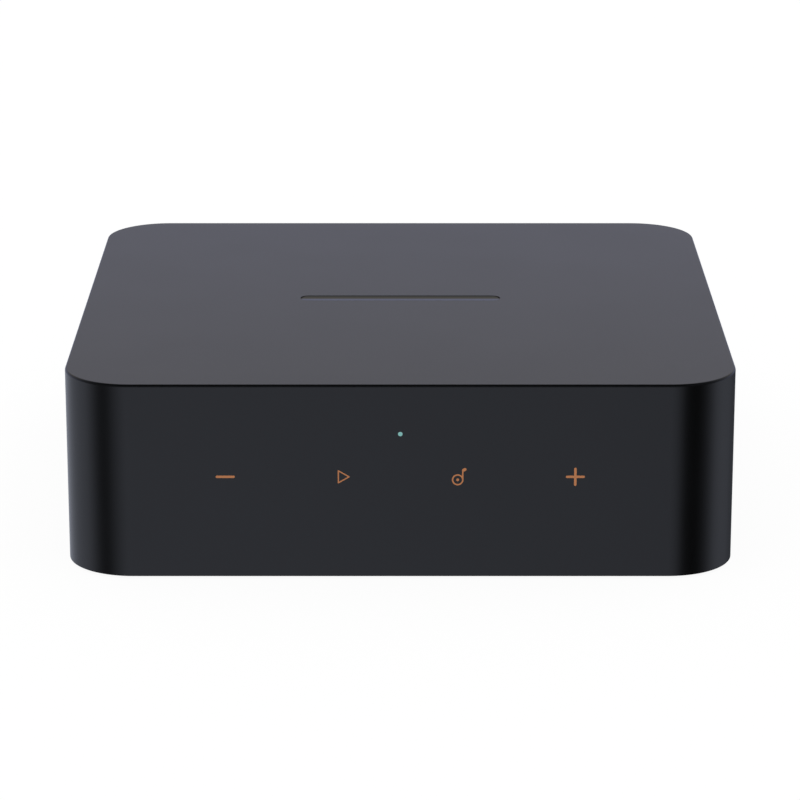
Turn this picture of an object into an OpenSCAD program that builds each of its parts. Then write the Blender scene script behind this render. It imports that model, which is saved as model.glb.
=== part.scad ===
// Network music streamer: a low rounded-square box for a shelf, with touch keys and a status
// light on its front and a row of audio, network and power sockets on its rear.
// All sizes are millimetres. +Z is up, the front faces -Y and the sockets face +Y.
// The origin lies under the middle of the body, on the surface that the foot ring stands on.

/* [Upper shell] */
// Width of the body, side to side
body_w = 140; // [138:1:170]
// Depth of the body, front to rear
body_d = 140; // [138:1:170]
// Height of the shell, without the foot
body_h = 41.5; // [41:0.5:60]
// Radius of the four upright corners
corner_r = 14.3; // [12:0.1:15]
// Radius along the top edge
edge_r = 0.5; // [0.2:0.1:1]
// Thickness of the upright walls
wall_t = 2.2; // [1.8:0.1:2.6]
// Thickness of the top
top_t = 2.2; // [1.6:0.1:2.8]
// Radius of the corner posts that take the case screws
post_r = 3.6; // [3:0.1:4]
// Distance from the inside of a wall to the middle of a corner post
post_inset = 6.5; // [5.5:0.1:7]

/* [Bottom cover and foot] */
// Thickness of the bottom cover
cover_t = 2.5; // [2.2:0.1:3.5]
// Gap between the bottom cover and the shell walls
cover_gap = 0.3; // [0.1:0.05:0.6]
// Distance that the cover lies above the lower edge of the shell
cover_inset = 0.3; // [0.1:0.1:0.6]
// Distance that the foot ring stands out below the shell
foot_proud = 0.5; // [0.3:0.1:2]
// Outer width of the foot ring
ring_w = 106; // [90:1:110]
// Outer corner radius of the foot ring
ring_r = 26; // [20:1:40]
// Width of the rubber band of the foot ring
ring_band = 7; // [4:0.5:12]
// Depth of the groove that holds the foot ring
ring_seat = 1; // [0.6:0.1:1.2]
// Play between the foot ring and its groove
ring_play = 0.1; // [0.05:0.05:0.3]
// Width of the blank label field
label_w = 58; // [40:1:66]
// Height of the blank label field
label_h = 34; // [20:1:50]
// Depth of the blank label field
label_depth = 0.2; // [0.1:0.1:0.5]

/* [Screws] */
// Radius of a case screw
case_screw_r = 1.45; // [1.2:0.05:1.6]
// Length of a case screw under its head
case_screw_len = 8; // [6:0.5:10]
// Radius of a case screw head
case_head_r = 2.8; // [2.4:0.1:3]
// Height of a case screw head
case_head_h = 1.2; // [0.8:0.1:1.3]
// Radius of a board screw
board_screw_r = 1.2; // [0.9:0.05:1.4]
// Radius of a board screw head
board_head_r = 2.2; // [1.8:0.1:2.4]
// Height of a board screw head
board_head_h = 1.3; // [0.8:0.1:1.8]
// Play between a screw and the plastic that it is driven into
screw_play = 0.05; // [0.02:0.01:0.1]
// Play between a screw and the hole that it passes through
hole_play = 0.2; // [0.1:0.05:0.3]

/* [Front] */
// Distance between neighbouring touch keys
key_pitch = 24.1; // [20:0.1:26]
// Height of the touch keys above the lower edge of the shell
key_z = 21.7; // [20:0.1:23]
// Height of the status light above the lower edge of the shell
light_z = 30.9; // [29:0.1:33]
// Radius of the status light
light_r = 0.45; // [0.4:0.05:0.9]
// Depth of the key symbols in the front wall
symbol_t = 0.25; // [0.1:0.05:0.5]
// Length of the minus and plus strokes
symbol_len = 3.95; // [3:0.05:6]
// Width of the minus and plus strokes
symbol_stroke = 0.52; // [0.4:0.02:0.9]
// Line width of the play and note symbols
symbol_line = 0.3; // [0.2:0.02:0.4]
// Distance from the front wall to the touch board
touch_gap = 3; // [2.4:0.1:4]
// Thickness of the touch board
touch_board_t = 1.2; // [0.8:0.1:1.6]
// Radius of a touch electrode
electrode_r = 4.6; // [3:0.1:6]

/* [Badge] */
// Length of the blank badge on the top
badge_len = 44.6; // [30:0.2:60]
// Width of the blank badge
badge_w = 4.4; // [3:0.2:8]
// Thickness of the blank badge
badge_t = 0.5; // [0.3:0.1:1]
// Place of the badge in front of the middle of the body
badge_forward = 0.9; // [0:0.1:10]

/* [Main board] */
// Thickness of the main board
board_t = 1.6; // [1:0.1:2]
// Depth of the main board, front to rear
board_d = 96; // [92:1:98]
// Height of the posts that carry the main board
standoff_h = 4.6; // [4:0.1:5]
// Radius of the posts that carry the main board
standoff_r = 3; // [2.6:0.1:3.2]
// Gap between the main board and the corner posts
board_clear = 2; // [1:0.1:3]

/* [Rear panel] */
// Margin beside the first and last socket
panel_margin = 2; // [1:0.1:4]
// Margin above the upper phono sockets
panel_head = 2.25; // [1.5:0.05:3]
// Gap between the panel's flange and the underside of the top
flange_head = 0.9; // [0.4:0.1:1.6]
// Radius of the upper corners of the panel
panel_r = 3; // [1:0.5:4]
// Distance that the panel lies inside the rear face of the shell
panel_recess = 0.3; // [0.1:0.1:0.6]
// Seam between the panel and the shell
panel_gap = 0.2; // [0.1:0.05:0.3]
// Thickness of the flange behind the rear wall
flange_t = 1.2; // [0.8:0.1:1.6]
// Width of the flange beyond the opening in the rear wall
flange_lap = 1.5; // [1:0.1:1.8]
// Play around a socket in the panel
port_play = 0.2; // [0.1:0.05:0.4]

/* [Phono sockets] */
// Width of a phono housing
phono_w = 12; // [11:0.1:12.4]
// Depth of a phono housing
phono_d = 14; // [10:0.5:18]
// Height of the lower phono socket above the board
phono_axis_h = 7; // [6.4:0.1:7.4]
// Outer radius of the phono sleeve
sleeve_r = 4.15; // [4:0.05:4.3]
// Outer radius of the sleeve's root in the housing
sleeve_root_r = 4.45; // [4.4:0.05:4.7]
// Inner radius of the phono sleeve
sleeve_bore_r = 3.6; // [3.4:0.05:3.7]
// Length of the sleeve outside the panel
sleeve_len = 8.5; // [7.5:0.1:10]
// Depth of the sleeve's root in the housing
sleeve_root = 5; // [3:0.1:7]
// Distance of the insulator inside the sleeve's mouth
insulator_inset = 0.7; // [0.3:0.1:1.5]
// Radius of the hole for the plug's pin
pin_hole_r = 1.6; // [1.5:0.05:1.7]
// Wall of the centre contact
contact_wall = 0.3; // [0.25:0.05:0.4]

/* [Optical sockets] */
// Width of an optical socket
optical_w = 9.8; // [9.4:0.1:10.4]
// Height of an optical socket
optical_h = 10.2; // [10:0.1:11]
// Depth of an optical socket
optical_d = 13.8; // [13.4:0.1:16]
// Wall of an optical socket
optical_wall = 0.8; // [0.7:0.05:0.9]
// Width of the mouth
mouth_w = 7.6; // [7.2:0.1:7.8]
// Height of the mouth
mouth_h = 6.9; // [6.4:0.1:7]
// Cut corners of the mouth
mouth_chamfer = 1.2; // [0.6:0.1:1.6]
// Thickness of the rim around the mouth
mouth_rim = 0.9; // [0.7:0.1:1.2]
// Depth of the room behind the rim
optical_room = 10.4; // [10.2:0.1:11]
// Thickness of the shutter
shutter_t = 0.8; // [0.6:0.05:0.85]
// Gap around the shutter
shutter_gap = 0.25; // [0.2:0.05:0.3]
// Play of the shutter's pin in its bearing
pin_play = 0.05; // [0.02:0.01:0.08]
// Thickness of the shutter's leaf spring
leaf_t = 0.15; // [0.1:0.01:0.2]
// Width of the shutter's leaf spring
leaf_w = 3; // [2:0.1:5]

/* [Small sockets] */
// Width of the trigger socket
trigger_w = 6.4; // [6.2:0.1:7]
// Height of the trigger socket
trigger_h = 6; // [5.8:0.1:7]
// Depth of the trigger socket behind the panel
trigger_d = 11; // [10:0.5:14]
// Radius of the trigger socket's nose
nose_r = 2.6; // [2.4:0.05:2.8]
// Radius of the hole for the trigger plug
trigger_hole_r = 1.8; // [1.75:0.05:1.9]
// Depth of the hole for the trigger plug
trigger_hole_len = 13; // [12:0.5:14]
// Width of the ring nut on the nose
nut_band = 1.1; // [0.8:0.1:1.3]
// Thickness of the ring nut
nut_t = 0.8; // [0.5:0.1:1.2]
// Width of the network socket
network_w = 16; // [15.8:0.1:16.6]
// Height of the network socket
network_h = 13.4; // [13:0.1:14.4]
// Depth of the network socket
network_d = 16; // [15.5:0.5:20]
// Thickness of the network socket's tin shield
tin_t = 0.3; // [0.2:0.05:0.4]
// Width of the opening for the network plug
jack_w = 11.8; // [11.7:0.1:12]
// Height of the opening for the network plug
jack_h = 6.8; // [6.7:0.1:7]
// Depth of the opening for the network plug
jack_d = 12.5; // [11:0.5:13]
// Width of the power socket
power_w = 8.94; // [8.9:0.02:9.2]
// Height of the power socket
power_h = 3.26; // [3.2:0.02:3.4]
// Wall of the power socket
power_wall = 0.3; // [0.25:0.05:0.35]
// Depth of the power socket
power_d = 7.6; // [7:0.1:9]

/* [Boards and antennas] */
// Width of the network module
module_w = 44; // [40:1:48]
// Depth of the network module
module_d = 36; // [32:1:40]
// Thickness of the network module
module_t = 1.2; // [0.8:0.1:1.6]
// Width of the shield can
can_w = 31; // [26:1:34]
// Depth of the shield can
can_d = 28; // [24:1:30]
// Height of the shield can
can_h = 3.2; // [2:0.1:4]
// Wall of the shield can
can_wall = 0.3; // [0.2:0.05:0.5]
// Thickness of the thermal pad
pad_t = 1; // [0.5:0.1:2]
// Height of the heat sink
sink_h = 9; // [6:0.5:12]
// Number of fins on the heat sink
sink_fins = 7; // [4:1:10]
// Length of an antenna strip
antenna_len = 42; // [30:1:60]
// Height of an antenna strip
antenna_h = 9; // [6:0.5:14]
// Thickness of an antenna strip
antenna_t = 0.8; // [0.4:0.1:1.2]
// Height of the antennas above the lower edge of the shell
antenna_z = 29; // [26:0.5:32]
// Radius of an antenna cable
cable_r = 0.6; // [0.4:0.05:0.8]

/* [Hidden] */
$fn = 64;
// Overshoot of a cut past the face that it opens
cut = 1;
// Play of a part that is slipped into its seat
fit = 0.05;
// Distance that a screw ends short of the bottom of its hole
screw_end = 0.4;
// Distance that an insert lies inside the mouth of its socket
socket_inset = 0.3;

// Heights
z_shell = foot_proud;
z_top = z_shell + body_h;
z_ceiling = z_top - top_t;
z_cover = z_shell + cover_inset;
z_cover_top = z_cover + cover_t;
z_board = z_cover_top + standoff_h;
z_board_top = z_board + board_t;
z_keys = z_shell + key_z;
z_light = z_shell + light_z;

// Plan
inner_w = body_w - 2 * wall_t;
inner_d = body_d - 2 * wall_t;
y_front = -body_d / 2;
y_front_inside = y_front + wall_t;
y_rear_inside = inner_d / 2;
post_x = inner_w / 2 - post_inset;
post_y = inner_d / 2 - post_inset;

// Rear panel
y_panel = body_d / 2 - panel_recess;
y_panel_inside = y_rear_inside - flange_t;
z_panel_top = z_ceiling - flange_head - flange_lap;
panel_w = body_w - 2 * (corner_r + flange_lap + panel_gap);

// Row of sockets, from +X to -X, with their widths
port_row = [
  ["line_out", phono_w], ["line_in", phono_w], ["coax_out", phono_w], ["optical_out", optical_w],
  ["optical_in", optical_w], ["trigger", trigger_w], ["network", network_w], ["power", power_w]
];
function widths_before(i) = i == 0 ? 0 : port_row[i - 1][1] + widths_before(i - 1);
row_w = panel_w - 2 * panel_margin;
port_gap = (row_w - widths_before(len(port_row))) / (len(port_row) - 1);
function port_x(name) = let (i = search([name], port_row)[0])
  row_w / 2 - widths_before(i) - port_row[i][1] / 2 - i * port_gap;

// Phono sockets: the place and height of each axis
z_phono_low = z_board_top + phono_axis_h;
z_phono_high = z_panel_top - panel_head - port_play - sleeve_root_r;
y_sleeve_root = y_panel_inside - sleeve_root;
y_sleeve_mouth = y_panel + sleeve_len;
white_phonos = [[port_x("line_out"), z_phono_high], [port_x("line_in"), z_phono_high]];
red_phonos = [[port_x("line_out"), z_phono_low], [port_x("line_in"), z_phono_low]];
coax_phono = [[port_x("coax_out"), z_phono_low]];
all_phonos = concat(white_phonos, red_phonos, coax_phono);
insulator_r = sleeve_bore_r - fit;
contact_r = pin_hole_r + contact_wall;
contact_inset = 1;
contact_end = 1;

// Main board, and the pitch of the grid that its parts are laid out on
board_pitch = 2;
chip_places = [[13, 12], [15, 26], [7, 33], [20, 33], [-14, 35]];
chip_sizes = [[5, 5, 0.7], [4.5, 4.5, 0.6], [3.5, 2.5, 0.75], [3, 2.5, 0.75], [6, 4.5, 1]];
capacitor_places = [[11, 20], [17, 20], [22, 28], [10, 30], [-1, 34]];
capacitor_r = 3.15;
capacitor_h = 7.7;
board_rear_gap = 0.3;
board_edge = 1;
y_board_rear = y_panel_inside - board_rear_gap;
y_board_front = y_board_rear - board_d;
board_w = 2 * (post_x - post_r - board_clear);
standoff_x = board_w / 2 - standoff_r - board_edge;
standoff_rear_y = y_panel_inside - max(phono_d, network_d) - 2 * standoff_r;
standoff_front_y = y_board_front + standoff_r + board_edge;
standoff_places = [for (x = [-1, 1], y = [standoff_front_y, standoff_rear_y]) [x * standoff_x, y]];

// Touch board, behind the front wall
y_touch = y_front_inside + touch_gap;
y_touch_rear = y_touch + touch_board_t;
touch_below = 8;
touch_above = 2.4;
z_touch = z_keys - touch_below;
touch_board_h = z_light + touch_above - z_touch;
key_places = [for (i = [-1.5, -0.5, 0.5, 1.5]) i * key_pitch];
touch_post_r = 2.6;
touch_margin = 0.6;
touch_post_x = key_places[3] + electrode_r + touch_margin + touch_post_r;
touch_board_w = 2 * (touch_post_x + touch_post_r + touch_margin);
touch_screw_r = 0.95;
touch_screw_len = touch_board_t + touch_gap - screw_end;
touch_head_r = 1.9;
touch_head_h = 1.2;

// Play and note symbols
play_w = 2.5;
play_h = 2.9;
disc_r = 1.2;
note_left = 0.2;
note_down = 0.65;
note_stem = 2.1;
flag_len = 0.95;
flag_w = 0.62;
flag_angle = 24;

// Ribbon cable between the touch board and the main board
flex_w = 14;
flex_t = 0.3;
flex_socket_h = 2.2;
flex_socket_len = 4;
flex_socket_margin = 1.5;
flex_socket_lift = 0.8;
flex_bend = 3.6;
y_flex = y_touch_rear + flex_socket_h / 2;
z_flex = z_board_top + flex_socket_h / 2;
z_flex_socket = max(z_flex + flex_bend, z_touch) + flex_socket_lift;
y_flex_socket = y_board_front + 2 * board_edge;

// Network module, its plugs and the antennas
module_x = -9 * board_pitch;
module_y = y_board_front + 22 * board_pitch;
z_module_top = z_board_top + module_t;
sink_base = 2;
sink_fin = 1.2;
pad_border = 2;
z_can_top = z_module_top + can_h;
plug_r = 1.3;
plug_h = 1.8;
plug_margin = 0.8;
plug_x = module_w / 2 - plug_r - plug_margin;
plug_y = module_y - 6 * board_pitch;
z_cable_end = z_module_top + plug_h / 2;
z_antenna = z_shell + antenna_z;
// Points of the antenna cables, as shares of the way across and down from the antenna to the plug
left_route = [[0.18, 0.1], [0.28, 0.45], [0.42, 0.8], [0.62, 0.95]];
right_route = [[0.08, 0.1], [0.13, 0.45], [0.2, 0.8], [0.3, 0.95], [0.5, 0.98], [0.7, 0.99], [0.85, 1]];

// Optical sockets: the shutter's hinge
optical_room_w = optical_w - 2 * optical_wall;
z_mouth = z_board_top + optical_wall;
z_optical_ceiling = z_board_top + optical_h - optical_wall;
y_hinge = y_panel - mouth_rim - shutter_gap - shutter_t / 2;
z_hinge = z_optical_ceiling - shutter_gap - leaf_t - shutter_t / 2;
shutter_w = optical_room_w - 2 * shutter_gap;
shutter_pin_r = shutter_t / 2;
shutter_pin_end = 0.15;
shutter_pin_len = optical_w - 2 * shutter_pin_end;
element_z = z_mouth + mouth_h / 2;
element_w = 5;
element_h = 6;
lens_r = 1.2;
y_optical_web = y_panel - mouth_rim - optical_room;
optical_web = 1;

// Network and power sockets
jack_floor = 1.6;
y_jack = y_panel - socket_inset;
z_jack_floor = z_board_top + tin_t + jack_floor;
z_jack_roof = z_jack_floor + jack_h;
// Steps of the room for the plug's catch: width, and height above the opening
catch_steps = [[6.4, 1.5], [3.6, 2.9]];
window_w = 2.2;
window_h = 2;
window_d = 2;
window_edge = 0.8;
window_x = network_w / 2 - tin_t - window_edge - window_w / 2;
z_window = z_board_top + network_h - tin_t - window_edge - window_h;
contact_count = 8;
contact_pitch = 1.02;
wire_w = 0.4;
wire_t = 0.3;
wire_rise = 1.9;
wire_inset = 2;
wire_toe = 1.5;
power_back = 2;
tongue_t = 0.7;
tongue_w = 6.7;
tongue_inset = 0.8;

// A flat outline with round corners
module rounded_rect(w, d, r) {
  square([w - 2 * r, d], center = true);
  square([w, d - 2 * r], center = true);
  for (sx = [-1, 1], sy = [-1, 1]) translate([sx * (w / 2 - r), sy * (d / 2 - r)]) circle(r);
}

// A straight stroke with round ends
module stroke(length, width) {
  square([length - width, width], center = true);
  for (s = [-1, 1]) translate([s * (length - width) / 2, 0]) circle(width / 2);
}

// An outline in X and Z, made solid from y0 to y1
module solid_y(y0, y1) {
  translate([0, y1, 0]) rotate([90, 0, 0]) linear_extrude(y1 - y0) children();
}

// An outline in Y and Z, made solid over a width about the middle
module solid_x(width) {
  translate([-width / 2, 0, 0]) rotate([90, 0, 90]) linear_extrude(width) children();
}

// A round bar along Y, from y0 to y1
module rod_y(r, y0, y1) {
  translate([0, y0, 0]) rotate([-90, 0, 0]) cylinder(r = r, h = y1 - y0);
}

// A block centred on X, from y0 to y1 and z0 to z1
module block(width, y0, y1, z0, z1) {
  translate([-width / 2, y0, z0]) cube([width, y1 - y0, z1 - z0]);
}

// Half of an upright section with a round upper edge
module edge_section(r, h, e) {
  square([r, h - e]);
  square([r - e, h]);
  translate([r - e, h - e]) circle(e);
}

// A block with round upright corners and a round top edge
module soft_block(w, d, r, h, e) {
  translate([r - w / 2, r - d / 2, 0]) cube([w - 2 * r, d - 2 * r, h]);
  for (turn = [0:3]) {
    across = turn % 2 == 0 ? w : d;
    along = turn % 2 == 0 ? d : w;
    rotate([0, 0, 90 * turn]) translate([across / 2 - r, along / 2 - r, 0]) {
      rotate_extrude(angle = 90) edge_section(r, h, e);
      rotate([90, 0, 0]) linear_extrude(along - 2 * r) edge_section(r, h, e);
    }
  }
}

// A screw that points up from its head, with a cross in the head
module screw(r, length, head_r, head_h) {
  slot = head_r * 0.35;
  difference() {
    union() {
      cylinder(r = r, h = length);
      translate([0, 0, -head_h]) cylinder(r = head_r, h = head_h);
    }
    for (turn = [0, 90]) rotate([0, 0, turn])
      translate([-head_r * 0.62, -slot / 2, -head_h - cut]) cube([head_r * 1.24, slot, cut + head_h * 0.6]);
  }
}

// A smooth line through points, with a few steps between each pair
function between(a, b, c, d, t) = 0.5 * (2 * b + (c - a) * t + (2 * a - 5 * b + 4 * c - d) * t * t
  + (3 * b - a - 3 * c + d) * t * t * t);
function smooth_line(p, steps) = concat(
  [for (i = [0:len(p) - 2], k = [0:steps - 1])
    between(p[max(i - 1, 0)], p[i], p[i + 1], p[min(i + 2, len(p) - 1)], k / steps)],
  [p[len(p) - 1]]);

// A round tube along a line that lies in one XZ plane
module tube_along(line, r, sides) {
  last = len(line) - 1;
  function heading(i) = let (v = line[min(i + 1, last)] - line[max(i - 1, 0)]) v / norm(v);
  ring_points = [for (i = [0:last], k = [0:sides - 1])
    let (side = cross(heading(i), [0, 1, 0]), turn = 360 * k / sides)
      line[i] + r * (cos(turn) * side + sin(turn) * [0, 1, 0])];
  side_faces = [for (i = [0:last - 1], k = [0:sides - 1], half = [0, 1])
    let (a = i * sides + k, b = i * sides + (k + 1) % sides)
      half == 0 ? [a, b, b + sides] : [a, b + sides, a + sides]];
  end_faces = [for (k = [1:sides - 2], end = [0, 1])
    end == 0 ? [0, k + 1, k] : [last * sides, last * sides + k, last * sides + k + 1]];
  polyhedron(points = ring_points, faces = concat(side_faces, end_faces));
}

// Key symbols, as outlines about the middle of their key
module minus_symbol() stroke(symbol_len, symbol_stroke);

module plus_symbol() {
  minus_symbol();
  rotate(90) minus_symbol();
}

// A triangle of lines with round corners, balanced about its centroid
module play_symbol() {
  w = play_w - symbol_line;
  h = play_h - symbol_line;
  corners = [[-w / 3, -h / 2], [-w / 3, h / 2], [2 * w / 3, 0]];
  for (i = [0:2]) {
    side = corners[(i + 1) % 3] - corners[i];
    translate(corners[i]) {
      circle(symbol_line / 2);
      rotate(atan2(side[1], side[0])) translate([0, -symbol_line / 2]) square([norm(side), symbol_line]);
    }
  }
}

module note_symbol() {
  translate([-note_left, -note_down]) {
    difference() {
      circle(disc_r);
      circle(disc_r - symbol_line);
    }
    circle(symbol_line);
    translate([disc_r - symbol_line, 0]) square([symbol_line, note_stem]);
    translate([disc_r - symbol_line + flag_w / 2, note_stem])
      rotate(flag_angle) translate([(flag_len - flag_w) / 2, 0]) stroke(flag_len, flag_w);
  }
}

module key_symbols() {
  translate([key_places[0], z_keys]) minus_symbol();
  translate([key_places[1], z_keys]) play_symbol();
  translate([key_places[2], z_keys]) note_symbol();
  translate([key_places[3], z_keys]) plus_symbol();
}

module badge_outline() translate([0, -badge_forward]) stroke(badge_len, badge_w);

// Outline of the rear panel, or of its opening when it grows by a gap
module panel_outline(grow, z_low) {
  half = panel_w / 2 + grow;
  top = z_panel_top + grow;
  translate([-half, z_low]) square([2 * half, top - panel_r - z_low]);
  translate([panel_r - half, z_low]) square([2 * (half - panel_r), top - z_low]);
  for (s = [-1, 1]) translate([s * (half - panel_r), top - panel_r]) circle(panel_r);
}

module upper_shell() color([0.06, 0.06, 0.065]) difference() {
  union() {
    difference() {
      translate([0, 0, z_shell]) soft_block(body_w, body_d, corner_r, body_h, edge_r);
      translate([0, 0, z_shell - cut])
        linear_extrude(body_h - top_t + cut) rounded_rect(inner_w, inner_d, corner_r - wall_t);
    }
    for (x = [-post_x, post_x], y = [-post_y, post_y])
      translate([x, y, z_cover_top]) cylinder(r = post_r, h = z_ceiling - z_cover_top + top_t / 2);
    for (x = [-touch_post_x, touch_post_x])
      translate([x, 0, z_keys]) rod_y(touch_post_r, y_front_inside - wall_t / 2, y_touch);
  }
  for (x = [-post_x, post_x], y = [-post_y, post_y])
    translate([x, y, z_cover_top - cut])
      cylinder(r = case_screw_r + screw_play, h = case_screw_len + screw_end + cut);
  for (x = [-touch_post_x, touch_post_x])
    translate([x, 0, z_keys])
      rod_y(touch_screw_r + screw_play, y_touch_rear - touch_screw_len - screw_play, y_touch + cut);
  solid_y(y_rear_inside - cut, body_d / 2 + cut) panel_outline(panel_gap, z_shell - cut);
  solid_y(y_front - cut, y_front + symbol_t) key_symbols();
  translate([0, 0, z_light]) rod_y(light_r + fit, y_front - cut, y_front_inside + cut);
  translate([0, 0, z_top - badge_t]) linear_extrude(badge_t + cut) badge_outline();
}

module bottom_cover() color([0.08, 0.08, 0.085]) {
  counterbore = case_head_h + hole_play;
  edge_corner = corner_r - wall_t - cover_gap;
  difference() {
    union() {
      translate([0, 0, z_cover])
        linear_extrude(cover_t) rounded_rect(inner_w - 2 * cover_gap, inner_d - 2 * cover_gap, edge_corner);
      for (p = standoff_places)
        translate([p[0], p[1], z_cover_top - cover_t / 2])
          cylinder(r = standoff_r, h = standoff_h + cover_t / 2);
    }
    for (x = [-post_x, post_x], y = [-post_y, post_y]) translate([x, y, z_cover - cut]) {
      cylinder(r = case_screw_r + hole_play, h = cover_t + 2 * cut);
      cylinder(r = case_head_r + hole_play, h = counterbore + cut);
    }
    for (p = standoff_places)
      translate([p[0], p[1], z_cover_top]) cylinder(r = board_screw_r + screw_play, h = standoff_h + cut);
    translate([0, 0, z_cover - cut]) linear_extrude(ring_seat + cut) ring_outline(ring_play);
    translate([0, 0, z_cover - cut])
      linear_extrude(label_depth + cut) square([label_w, label_h], center = true);
  }
}

// Outline of the foot ring, or of its groove when it grows by a play
module ring_outline(grow) difference() {
  outer = ring_w + 2 * grow;
  inner = ring_w - 2 * ring_band - 2 * grow;
  rounded_rect(outer, outer, ring_r + grow);
  rounded_rect(inner, inner, ring_r - ring_band - grow);
}

module foot_ring() color([0.05, 0.05, 0.05])
  linear_extrude(z_cover + ring_seat) ring_outline(0);

module case_screws() color([0.25, 0.25, 0.26])
  for (x = [-post_x, post_x], y = [-post_y, post_y])
    translate([x, y, z_cover + case_head_h + hole_play])
      screw(case_screw_r, case_screw_len, case_head_r, case_head_h);

module top_badge() color([0.02, 0.02, 0.02])
  translate([0, 0, z_top - badge_t]) linear_extrude(badge_t) badge_outline();

module touch_symbols() color([0.72, 0.4, 0.22])
  solid_y(y_front, y_front + symbol_t) key_symbols();

module status_light_pipe() color([0.45, 0.72, 0.7]) translate([0, 0, z_light]) {
  collar = 0.8;
  rod_y(light_r, y_front, y_front_inside + collar);
  rod_y(light_r + collar, y_front_inside, y_front_inside + collar);
}

module status_led() color([0.9, 0.9, 0.85]) {
  led_w = 1.6;
  led_h = 0.8;
  led_t = 1;
  block(led_w, y_touch - led_t, y_touch, z_light - led_h / 2, z_light + led_h / 2);
}

module touch_board() color([0.05, 0.25, 0.15]) difference() {
  block(touch_board_w, y_touch, y_touch_rear, z_touch, z_touch + touch_board_h);
  for (x = [-touch_post_x, touch_post_x])
    translate([x, 0, z_keys]) rod_y(touch_screw_r + hole_play, y_touch - cut, y_touch_rear + cut);
}

module touch_electrodes() color([0.3, 0.3, 0.3])
  for (x = key_places) translate([x, 0, z_keys]) rod_y(electrode_r, y_front_inside, y_touch);

module touch_board_screws() color([0.6, 0.6, 0.62])
  for (x = [-touch_post_x, touch_post_x]) translate([x, y_touch_rear, z_keys]) rotate([90, 0, 0])
    screw(touch_screw_r, touch_screw_len, touch_head_r, touch_head_h);

module flex_sockets() color([0.9, 0.88, 0.8]) {
  width = flex_w + 2 * flex_socket_margin;
  block(width, y_touch_rear, y_touch_rear + flex_socket_h, z_flex_socket, z_flex_socket + flex_socket_len);
  block(width, y_flex_socket, y_flex_socket + flex_socket_len, z_board_top, z_board_top + flex_socket_h);
}

module touch_flex_cable() color([0.85, 0.85, 0.88]) solid_x(flex_w) {
  bend_y = y_flex + flex_bend;
  bend_z = z_flex + flex_bend;
  translate([y_flex - flex_t / 2, bend_z]) square([flex_t, z_flex_socket - bend_z]);
  translate([bend_y, z_flex - flex_t / 2]) square([y_flex_socket - bend_y, flex_t]);
  translate([bend_y, bend_z]) intersection() {
    difference() {
      circle(flex_bend + flex_t / 2);
      circle(flex_bend - flex_t / 2);
    }
    translate([-2 * flex_bend, -2 * flex_bend]) square(2 * flex_bend);
  }
}

module main_board() color([0.04, 0.22, 0.12]) difference() {
  block(board_w, y_board_front, y_board_rear, z_board, z_board_top);
  for (p = standoff_places)
    translate([p[0], p[1], z_board - cut]) cylinder(r = board_screw_r + hole_play, h = board_t + 2 * cut);
}

module board_screws() color([0.65, 0.65, 0.66])
  for (p = standoff_places) translate([p[0], p[1], z_board_top]) mirror([0, 0, 1])
    screw(board_screw_r, board_t + standoff_h - screw_end, board_head_r, board_head_h);

module network_module() color([0.05, 0.12, 0.28])
  translate([module_x, module_y, z_board_top])
    linear_extrude(module_t) square([module_w, module_d], center = true);

module shield_can() color([0.75, 0.76, 0.77]) translate([module_x, module_y, z_module_top]) difference() {
  linear_extrude(can_h) square([can_w, can_d], center = true);
  translate([0, 0, -cut]) linear_extrude(can_h - can_wall + cut)
    square([can_w - 2 * can_wall, can_d - 2 * can_wall], center = true);
}

module thermal_pad() color([0.55, 0.6, 0.66])
  translate([module_x, module_y, z_can_top])
    linear_extrude(pad_t) square([can_w - 2 * pad_border, can_d - 2 * pad_border], center = true);

module heat_sink() color([0.7, 0.7, 0.72]) translate([module_x, module_y, z_can_top + pad_t]) {
  fin_pitch = (can_w - sink_fin) / (sink_fins - 1);
  linear_extrude(sink_base) square([can_w, can_d], center = true);
  for (i = [0:sink_fins - 1])
    translate([i * fin_pitch - can_w / 2, -can_d / 2, sink_base / 2])
      cube([sink_fin, can_d, sink_h - sink_base / 2]);
}

// Integrated circuits, placed from the middle of the board's front edge
module board_chips() color([0.1, 0.1, 0.1])
  for (i = [0:len(chip_places) - 1]) {
    size = board_pitch * chip_sizes[i];
    place = board_pitch * chip_places[i];
    translate([place[0] - size[0] / 2, y_board_front + place[1] - size[1] / 2, z_board_top]) cube(size);
  }

// Electrolytic capacitors, placed from the middle of the board's front edge
module capacitors() color([0.5, 0.5, 0.55])
  for (p = capacitor_places)
    translate([board_pitch * p[0], y_board_front + board_pitch * p[1], z_board_top])
      cylinder(r = capacitor_r, h = capacitor_h);

module antenna(side) color([0.12, 0.12, 0.12]) {
  x = side * (inner_w - antenna_t) / 2;
  translate([x - antenna_t / 2, plug_y - antenna_len / 2, z_antenna - antenna_h / 2])
    cube([antenna_t, antenna_len, antenna_h]);
}

module antenna_left() antenna(-1);

module antenna_right() antenna(1);

// The cable leaves the antenna and enters its plug square to each
module antenna_cable(side, route) color([0.15, 0.15, 0.15]) {
  lead = [side * 2 * cable_r, 0, 0];
  start = [side * (inner_w / 2 - antenna_t), plug_y, z_antenna];
  end = [module_x + side * (plug_x + plug_r + fit), plug_y, z_cable_end];
  way = end - start;
  curve = concat(
    [start - lead],
    [for (p = route) start + [p[0] * way[0], 0, p[1] * way[2]]],
    [end + lead]);
  tube_along(concat([start], smooth_line(curve, 3), [end]), cable_r, 8);
}

module antenna_cable_left() antenna_cable(-1, left_route);

module antenna_cable_right() antenna_cable(1, right_route);

module antenna_plugs() color([0.8, 0.65, 0.3])
  for (s = [-1, 1]) translate([module_x + s * plug_x, plug_y, z_module_top]) cylinder(r = plug_r, h = plug_h);

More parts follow.
